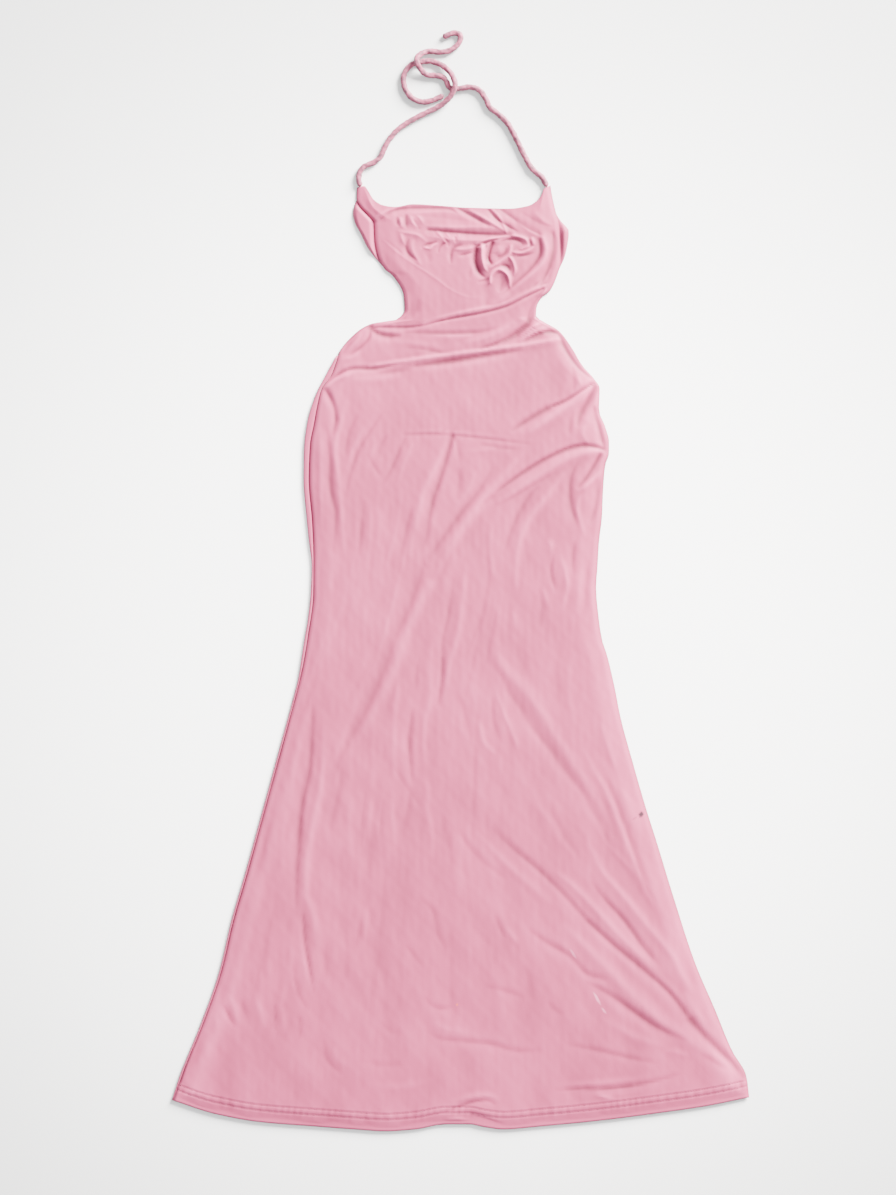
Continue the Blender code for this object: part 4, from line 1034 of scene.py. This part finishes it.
def painted_shade_of_relief(z):
    """How far each place stands above (over 0.5) or lies below (under 0.5) the cloth round it: the level of
    painted highlight and painted shade in its colour.
    """
    fine = z - softened(z, FINE_STEPS)
    broad = z - softened(z, BROAD_STEPS)
    return np.clip(0.5 + FINE_SHADE_STRENGTH * fine + BROAD_SHADE_STRENGTH * broad, 0.0, 1.0)


def make_front(material):
    """The front, one piece from the neckline to its turned hem."""
    levels = row_levels(FRONT_ROWS)
    levels = levels[:(len(levels) - 1) // LOWER_STEP * LOWER_STEP + 1]
    levels[-1] = HEM_LEVEL
    x, y = panel_grid(
        NECKLINE, levels, NECK_LEVEL, NECK_ROWS_END,
        lambda at: edge_x(FRONT_LEFT, at), lambda at: edge_x(FRONT_RIGHT, at), FRONT_COLUMNS,
    )
    z = front_surface(x, y)
    # Painted shade in the creases and painted highlight on the ridges, from the front's relief
    painted_fold_shade = [("painted_fold_shade", painted_shade_of_relief(z))]
    piece = cloth_mesh("front_panel", x, y, z + PLY / 2, front_lift(x, y), painted_fold_shade)
    piece.data.materials.append(material)
    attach(piece, "root")
    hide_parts("dress_front")
    return piece


def make_back_skirt(material):
    """The back skirt, flat below, with its left side rolled over to the seam on the front."""
    levels = row_levels([
        (BACK_TOP_LEVEL, BACK_TOP_ROWS_END, 3.0), (BACK_TOP_ROWS_END, HEM_ROWS_START, 7.0),
        (HEM_ROWS_START, HEM_LEVEL, 5.0),
    ])
    flat_x, flat_y = panel_grid(
        BACK_TOP, levels, BACK_TOP_LEVEL, BACK_TOP_ROWS_END,
        lambda at: edge_x(FRONT_LEFT, at), lambda at: edge_x(FRONT_RIGHT, at) - BACK_RIGHT_INSET,
        BACK_COLUMNS,
    )
    seam_x = flat_x[:, 0] - SEAM_GAP
    seam_y = flat_y[:, 0]
    outer_x = np.minimum(edge_x(BACK_LEFT, seam_y), seam_x - LEAST_ROLL_WIDTH)
    top_z = PLY / 2 + 2 * ROLL_RADIUS
    turn_x = outer_x + PLY / 2 + ROLL_RADIUS
    start_x = np.maximum(seam_x, turn_x + LEAST_ROLL_TOP)
    x = []
    y = []
    z = []
    for share, drop in ROLL_TOP:
        x.append(start_x * (1 - share) + turn_x * share)
        y.append(seam_y)
        z.append(np.full_like(seam_y, top_z - drop))
    for angle in np.radians(ROLL_ANGLES):
        x.append(turn_x - ROLL_RADIUS * np.sin(angle))
        y.append(seam_y)
        z.append(np.full_like(seam_y, PLY / 2 + ROLL_RADIUS + ROLL_RADIUS * np.cos(angle)))
    for column in range(1, flat_x.shape[1]):
        x.append(flat_x[:, column])
        y.append(flat_y[:, column])
        z.append(np.full_like(seam_y, PLY / 2))
    x, y, z = (np.array(values).T for values in (x, y, z))
    piece = grid_mesh("back_skirt_panel", x, y, z, [("painted_fold_shade", np.full_like(x, 0.5))])
    piece.data.materials.append(material)
    thicken(piece, PLY)
    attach(piece, "root")
    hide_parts("dress_back_skirt")
    return piece


def make_back_band(material):
    """The band across the back, seen past both sides of the front."""
    rows = np.linspace(0, 1, BAND_ROWS)
    down, share = np.meshgrid(rows, np.linspace(0, 1, BAND_COLUMNS), indexing="ij")
    left_y = BAND_LEFT[0].y + down * (BAND_LEFT[-1].y - BAND_LEFT[0].y)
    right_y = BAND_RIGHT[0].y + down * (BAND_RIGHT[-1].y - BAND_RIGHT[0].y)
    left_x = edge_x(BAND_LEFT, left_y)
    right_x = edge_x(BAND_RIGHT, right_y)
    x = left_x + share * (right_x - left_x)
    top_y = edge_y(BAND_TOP_EDGE, BAND_LEFT[0].x + share * (BAND_RIGHT[0].x - BAND_LEFT[0].x))
    low_y = edge_y(BAND_BOTTOM, BAND_LEFT[-1].x + share * (BAND_RIGHT[-1].x - BAND_LEFT[-1].x))
    y = top_y + down * (low_y - top_y)
    left = edge_x(FRONT_LEFT, y) - x
    right = x - edge_x(FRONT_RIGHT, y)
    shown = np.maximum(left, right)
    from_side = np.minimum(share * BAND_WIDTH, (1 - share) * BAND_WIDTH)
    edge = np.minimum(from_side, np.minimum(down, 1 - down) * BAND_DEPTH)
    bulge = BAND_PUFF * smooth_step((shown - BAND_PUFF_START) / BAND_PUFF_REACH)
    puffed = bulge * np.sqrt(smooth_step(edge / BAND_EDGE_REACH))
    piece = grid_mesh("back_band_panel", x, y, PLY / 2 + puffed, [("painted_fold_shade", np.full_like(x, 0.5))])
    piece.data.materials.append(material)
    thicken(piece, PLY)
    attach(piece, "root")
    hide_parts("back_band")
    return piece


def even_points(points, spacing):
    """Points an equal distance apart along a path."""
    lengths = np.concatenate([[0.0], np.cumsum(np.linalg.norm(np.diff(points, axis=0), axis=1))])
    want = np.linspace(0.0, lengths[-1], round(lengths[-1] / spacing) + 1)
    return np.stack([np.interp(want, lengths, points[:, k]) for k in range(3)], axis=1), lengths[-1]


def make_tie(name, node, route, seed, material):
    """A turned tube of jersey, a little flat, twisted and crinkled along its length."""
    rng = np.random.default_rng(seed)
    path, length = even_points(through(route, 16), TIE_RING_SPACING)
    rise = np.maximum(path[:, 2], 0.0) * TIE_CROSSING_SHARE
    path[:, 2] = TIE_THICKNESS / 2 + TIE_CLEARANCE + rise
    tangents = np.gradient(path, axis=0)
    tangents /= np.linalg.norm(tangents, axis=1)[:, None]
    side = np.cross(tangents, (0.0, 0.0, 1.0))
    side /= np.linalg.norm(side, axis=1)[:, None]
    up = np.cross(side, tangents)
    distance = np.linspace(0.0, length, len(path))
    turn = np.zeros(len(path))
    swell = np.zeros(len(path))
    for period, amount in TIE_TWISTS:
        turn += amount * np.sin(2 * np.pi * distance / period + rng.random() * 6)
    for period in TIE_SWELL_PERIODS:
        swell += TIE_SWELL * np.sin(2 * np.pi * distance / period + rng.random() * 6)
    rings = []
    for n, (point, across, above) in enumerate(zip(path, side, up)):
        close = min(n, len(path) - 1 - n)
        taper = math.sin(math.pi / 2 * min(1.0, (close + 0.6) / 3))
        ring = []
        for k in range(TIE_SIDES):
            angle = 2 * math.pi * k / TIE_SIDES
            wide = TIE_WIDTH / 2 * math.cos(angle) * (1 + swell[n]) * taper
            thick = TIE_THICKNESS / 2 * math.sin(angle) * (1 - swell[n]) * taper
            crinkle = TIE_CRINKLE * math.sin(3 * angle + distance[n] / 2.1 + 2 * turn[n])
            groove = TIE_SEAM_DEPTH * math.exp(-((angle - 1.9 - 0.9 * turn[n]) / 0.22) ** 2)
            scale = 1 + (crinkle * taper - groove * taper) / (TIE_WIDTH / 2)
            ring.append(point + (across * wide + above * thick) * scale)
        rings.append(ring)
    shape = bmesh.new()
    loops = [[shape.verts.new(Vector(p) * MM) for p in ring] for ring in rings]
    for a, b in zip(loops, loops[1:]):
        for k in range(TIE_SIDES):
            m = (k + 1) % TIE_SIDES
            shape.faces.new((a[k], a[m], b[m], b[k]))
    for loop, point in ((loops[0], path[0]), (loops[-1], path[-1])):
        tip = shape.verts.new(Vector(point) * MM)
        for k in range(TIE_SIDES):
            shape.faces.new((loop[k], loop[(k + 1) % TIE_SIDES], tip))
    bmesh.ops.recalc_face_normals(shape, faces=shape.faces)
    mesh = bpy.data.meshes.new(name)
    shape.to_mesh(mesh)
    shape.free()
    mesh.shade_smooth()
    mesh.materials.append(material)
    piece = bpy.data.objects.new(name, mesh)
    bpy.context.scene.collection.objects.link(piece)
    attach(piece, "root")
    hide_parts(node)


def tie_jersey(name):
    """The same jersey pulled tight round its own seam allowance: duller, with fine wrinkles, and patches of
    painted shade mottled into its colour.
    """
    material, tree, shader = principled(name)
    place = add_node(tree, "ShaderNodeTexCoord").outputs["Object"]
    mottle_and_painted_shade = add_node(tree, "ShaderNodeTexNoise", Vector=place, Scale=240.0, Detail=3.0)
    share = add_node(
        tree, "ShaderNodeMapRange", Value=mottle_and_painted_shade.outputs[0],
        From_Min=0.35, From_Max=0.68, To_Min=0.0, To_Max=1.0,
    )
    # Painted shade: patches of a darker, shaded copy of the tie's colour, mixed in by the mottle at random
    cloth = add_node(
        tree, "ShaderNodeMix", {"data_type": "RGBA"},
        _0=share.outputs[0], _6=linear("#8E3A57"), _7=linear("#541F34"),
    )
    tree.links.new(cloth.outputs[2], shader.inputs["Base Color"])
    bump = add_node(
        tree, "ShaderNodeBump", Height=mottle_and_painted_shade.outputs[0], Strength=0.5, Distance=0.5 * MM,
    )
    tree.links.new(bump.outputs[0], shader.inputs["Normal"])
    shader.inputs["Roughness"].default_value = 0.66
    shader.inputs["Sheen Weight"].default_value = 0.15
    shader.inputs["Sheen Roughness"].default_value = 0.5
    return material


def stitch_tree():
    """Geometry nodes that lay one stitch after another along a line of sewing."""
    tree = bpy.data.node_groups.new("row of stitches", "GeometryNodeTree")
    tree.is_modifier = True
    face = tree.interface
    face.new_socket("Geometry", in_out="INPUT", socket_type="NodeSocketGeometry")
    for label in ("Pitch", "Stitch length", "Thread radius"):
        face.new_socket(label, in_out="INPUT", socket_type="NodeSocketFloat")
    face.new_socket("Thread", in_out="INPUT", socket_type="NodeSocketMaterial")
    face.new_socket("Geometry", in_out="OUTPUT", socket_type="NodeSocketGeometry")
    given = tree.nodes.new("NodeGroupInput").outputs
    line = add_node(tree, "GeometryNodeMeshToCurve", Mesh=given["Geometry"])
    spaced = add_node(
        tree, "GeometryNodeResampleCurve", {"mode": "LENGTH"},
        Curve=line.outputs[0], Length=given["Pitch"],
    )
    stitch = add_node(
        tree, "GeometryNodeMeshUVSphere", Segments=6, Rings=5, Radius=given["Thread radius"],
    )
    stretch = add_node(
        tree, "ShaderNodeMath", {"operation": "DIVIDE"},
        _0=given["Stitch length"], _1=given["Thread radius"],
    )
    half = add_node(tree, "ShaderNodeMath", {"operation": "MULTIPLY"}, _0=stretch.outputs[0], _1=0.5)
    size = add_node(tree, "ShaderNodeCombineXYZ", X=half.outputs[0], Y=1.0, Z=0.8)
    tangent = tree.nodes.new("GeometryNodeInputTangent")
    facing = add_node(
        tree, "FunctionNodeAlignRotationToVector", {"axis": "X"}, Vector=tangent.outputs[0],
    )
    placed = add_node(
        tree, "GeometryNodeInstanceOnPoints", Points=spaced.outputs[0], Instance=stitch.outputs[0],
        Rotation=facing.outputs[0], Scale=size.outputs[0],
    )
    real = add_node(tree, "GeometryNodeRealizeInstances", Geometry=placed.outputs[0])
    dyed = add_node(
        tree, "GeometryNodeSetMaterial", Geometry=real.outputs[0], Material=given["Thread"],
    )
    add_node(tree, "NodeGroupOutput", Geometry=dyed.outputs[0])
    return tree


def make_stitch_row(name, points, tree, thread):
    """One row of sewing along points on the cloth, in millimetres."""
    mesh = bpy.data.meshes.new(name)
    mesh.from_pydata((points * MM).tolist(), [(i, i + 1) for i in range(len(points) - 1)], [])
    piece = bpy.data.objects.new(name, mesh)
    bpy.context.scene.collection.objects.link(piece)
    sewing = piece.modifiers.new("stitches", "NODES")
    sewing.node_group = tree
    sizes = {
        "Pitch": STITCH_PITCH * MM,
        "Stitch length": STITCH_LENGTH * MM,
        "Thread radius": THREAD_RADIUS * MM,
        "Thread": thread,
    }
    for socket in tree.interface.items_tree:
        if socket.in_out == "INPUT" and socket.name in sizes:
            sewing[socket.identifier] = sizes[socket.name]
    apply_modifiers(piece)
    piece.data.shade_smooth()
    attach(piece, "root")
    return piece


def sewing_thread(name):
    """Spun polyester thread, a shade deeper than the cloth."""
    material, _, shader = principled(name)
    shader.inputs["Base Color"].default_value = linear("#7E2C4A")
    shader.inputs["Roughness"].default_value = 0.5
    return material


def make_hem_stitches(thread):
    """Two rows of coverstitch along the hem, on the front only."""
    tree = stitch_tree()
    pieces = []
    for number, row in enumerate(HEM_STITCH_ROWS, start=1):
        x = np.linspace(
            HEM[0].x + STITCH_END_INSET, HEM[-1].x - STITCH_END_INSET, STITCH_ROW_POINTS,
        )
        y = edge_y(HEM, x) + row
        low = edge_x(FRONT_LEFT, y) + STITCH_SIDE_INSET
        high = edge_x(FRONT_RIGHT, y) - STITCH_SIDE_INSET
        x_inside = np.clip(x, low, high)
        z = front_surface(x_inside, y)
        points = np.stack([x_inside, y, z + PLY / 2 + STITCH_LIFT], axis=1)
        pieces.append(make_stitch_row(f"hem_stitches_{number}", points, tree, thread))
    return pieces


def add_light(name, place, aim, size, power, colour):
    """A soft square light that points at a place on the dress."""
    data = bpy.data.lights.new(name, "AREA")
    data.size = size
    data.energy = power
    data.color = linear(colour)[:3]
    lamp = bpy.data.objects.new(name, data)
    lamp.location = place
    lamp.rotation_euler = (Vector(aim) - Vector(place)).to_track_quat("-Z", "Y").to_euler()
    bpy.context.scene.collection.objects.link(lamp)


def make_studio():
    """Pale floor with painted shade towards its edges, even sky, a soft light from the upper right and a
    weak one overhead.
    """
    bpy.ops.mesh.primitive_plane_add(size=FLOOR_SIZE, location=(0.0, 0.0, FLOOR_LEVEL))
    floor = bpy.context.object
    floor.name = "studio_floor"
    material, tree, shader = principled("matt white paper")
    place = add_node(tree, "ShaderNodeTexCoord").outputs["Object"]
    away = add_node(tree, "ShaderNodeVectorMath", {"operation": "LENGTH"}, _0=place)
    # Painted shade: the floor's colour darkens from the middle out, in place of light falling off towards
    # its edges
    outer = add_node(
        tree, "ShaderNodeMapRange", {"interpolation_type": "SMOOTHSTEP"},
        Value=away.outputs["Value"], From_Min=FLOOR_SHADE_START, From_Max=FLOOR_SHADE_END,
    )
    shade = add_node(
        tree, "ShaderNodeMix", {"data_type": "RGBA"},
        _0=outer.outputs[0], _6=linear(FLOOR_COLOUR), _7=linear(FLOOR_EDGE_SHADE_COLOUR),
    )
    tree.links.new(shade.outputs[2], shader.inputs["Base Color"])
    shader.inputs["Roughness"].default_value = 0.9
    shader.inputs["Specular IOR Level"].default_value = 0.1
    floor.data.materials.append(material)
    world = bpy.data.worlds.new("studio sky")
    bpy.context.scene.world = world
    world.use_nodes = True
    sky = world.node_tree.nodes["Background"]
    sky.inputs["Color"].default_value = linear("#F6F8FA")
    sky.inputs["Strength"].default_value = SKY_STRENGTH
    add_light("key_upper_right", KEY_PLACE, LIGHTS_AIM, KEY_SIZE, KEY_POWER, "#FFFDFA")
    add_light("overhead", TOP_PLACE, LIGHTS_AIM, TOP_SIZE, TOP_POWER, "#FFFFFF")


def make_camera():
    """Camera straight above the dress, framed as the photograph is."""
    data = bpy.data.cameras.new("camera")
    data.sensor_fit = "VERTICAL"
    data.sensor_height = SENSOR_HEIGHT
    data.lens = SENSOR_HEIGHT * CAMERA_HEIGHT / (PHOTO_HEIGHT_PX * MM_PER_PX)
    camera = bpy.data.objects.new("camera", data)
    camera.location = (VIEW_CENTRE_X * MM, VIEW_CENTRE_Y * MM, CAMERA_HEIGHT * MM)
    bpy.context.scene.collection.objects.link(camera)
    bpy.context.scene.camera = camera


make_camera()
ties = tie_jersey("turned jersey tie")
make_tie("left_neck_tie", "left_tie", LEFT_TIE, 3, ties)
make_tie("right_neck_tie", "right_tie", RIGHT_TIE, 8, ties)
make_studio()
# Jersey colours: painted highlight on the ridges, the cloth's own colour, painted shade in the creases
front = make_front(jersey("slinky jersey front", "#AE4A6E", "#943658", "#6A1C38", SPOTS))
back = make_back_skirt(jersey("slinky jersey back", "#AE4A6E", "#8F3355", "#6A1C38"))
band = make_back_band(jersey("slinky jersey band", "#AE4A6E", "#8F3355", "#6A1C38"))
stitches = make_hem_stitches(sewing_thread("polyester thread"))
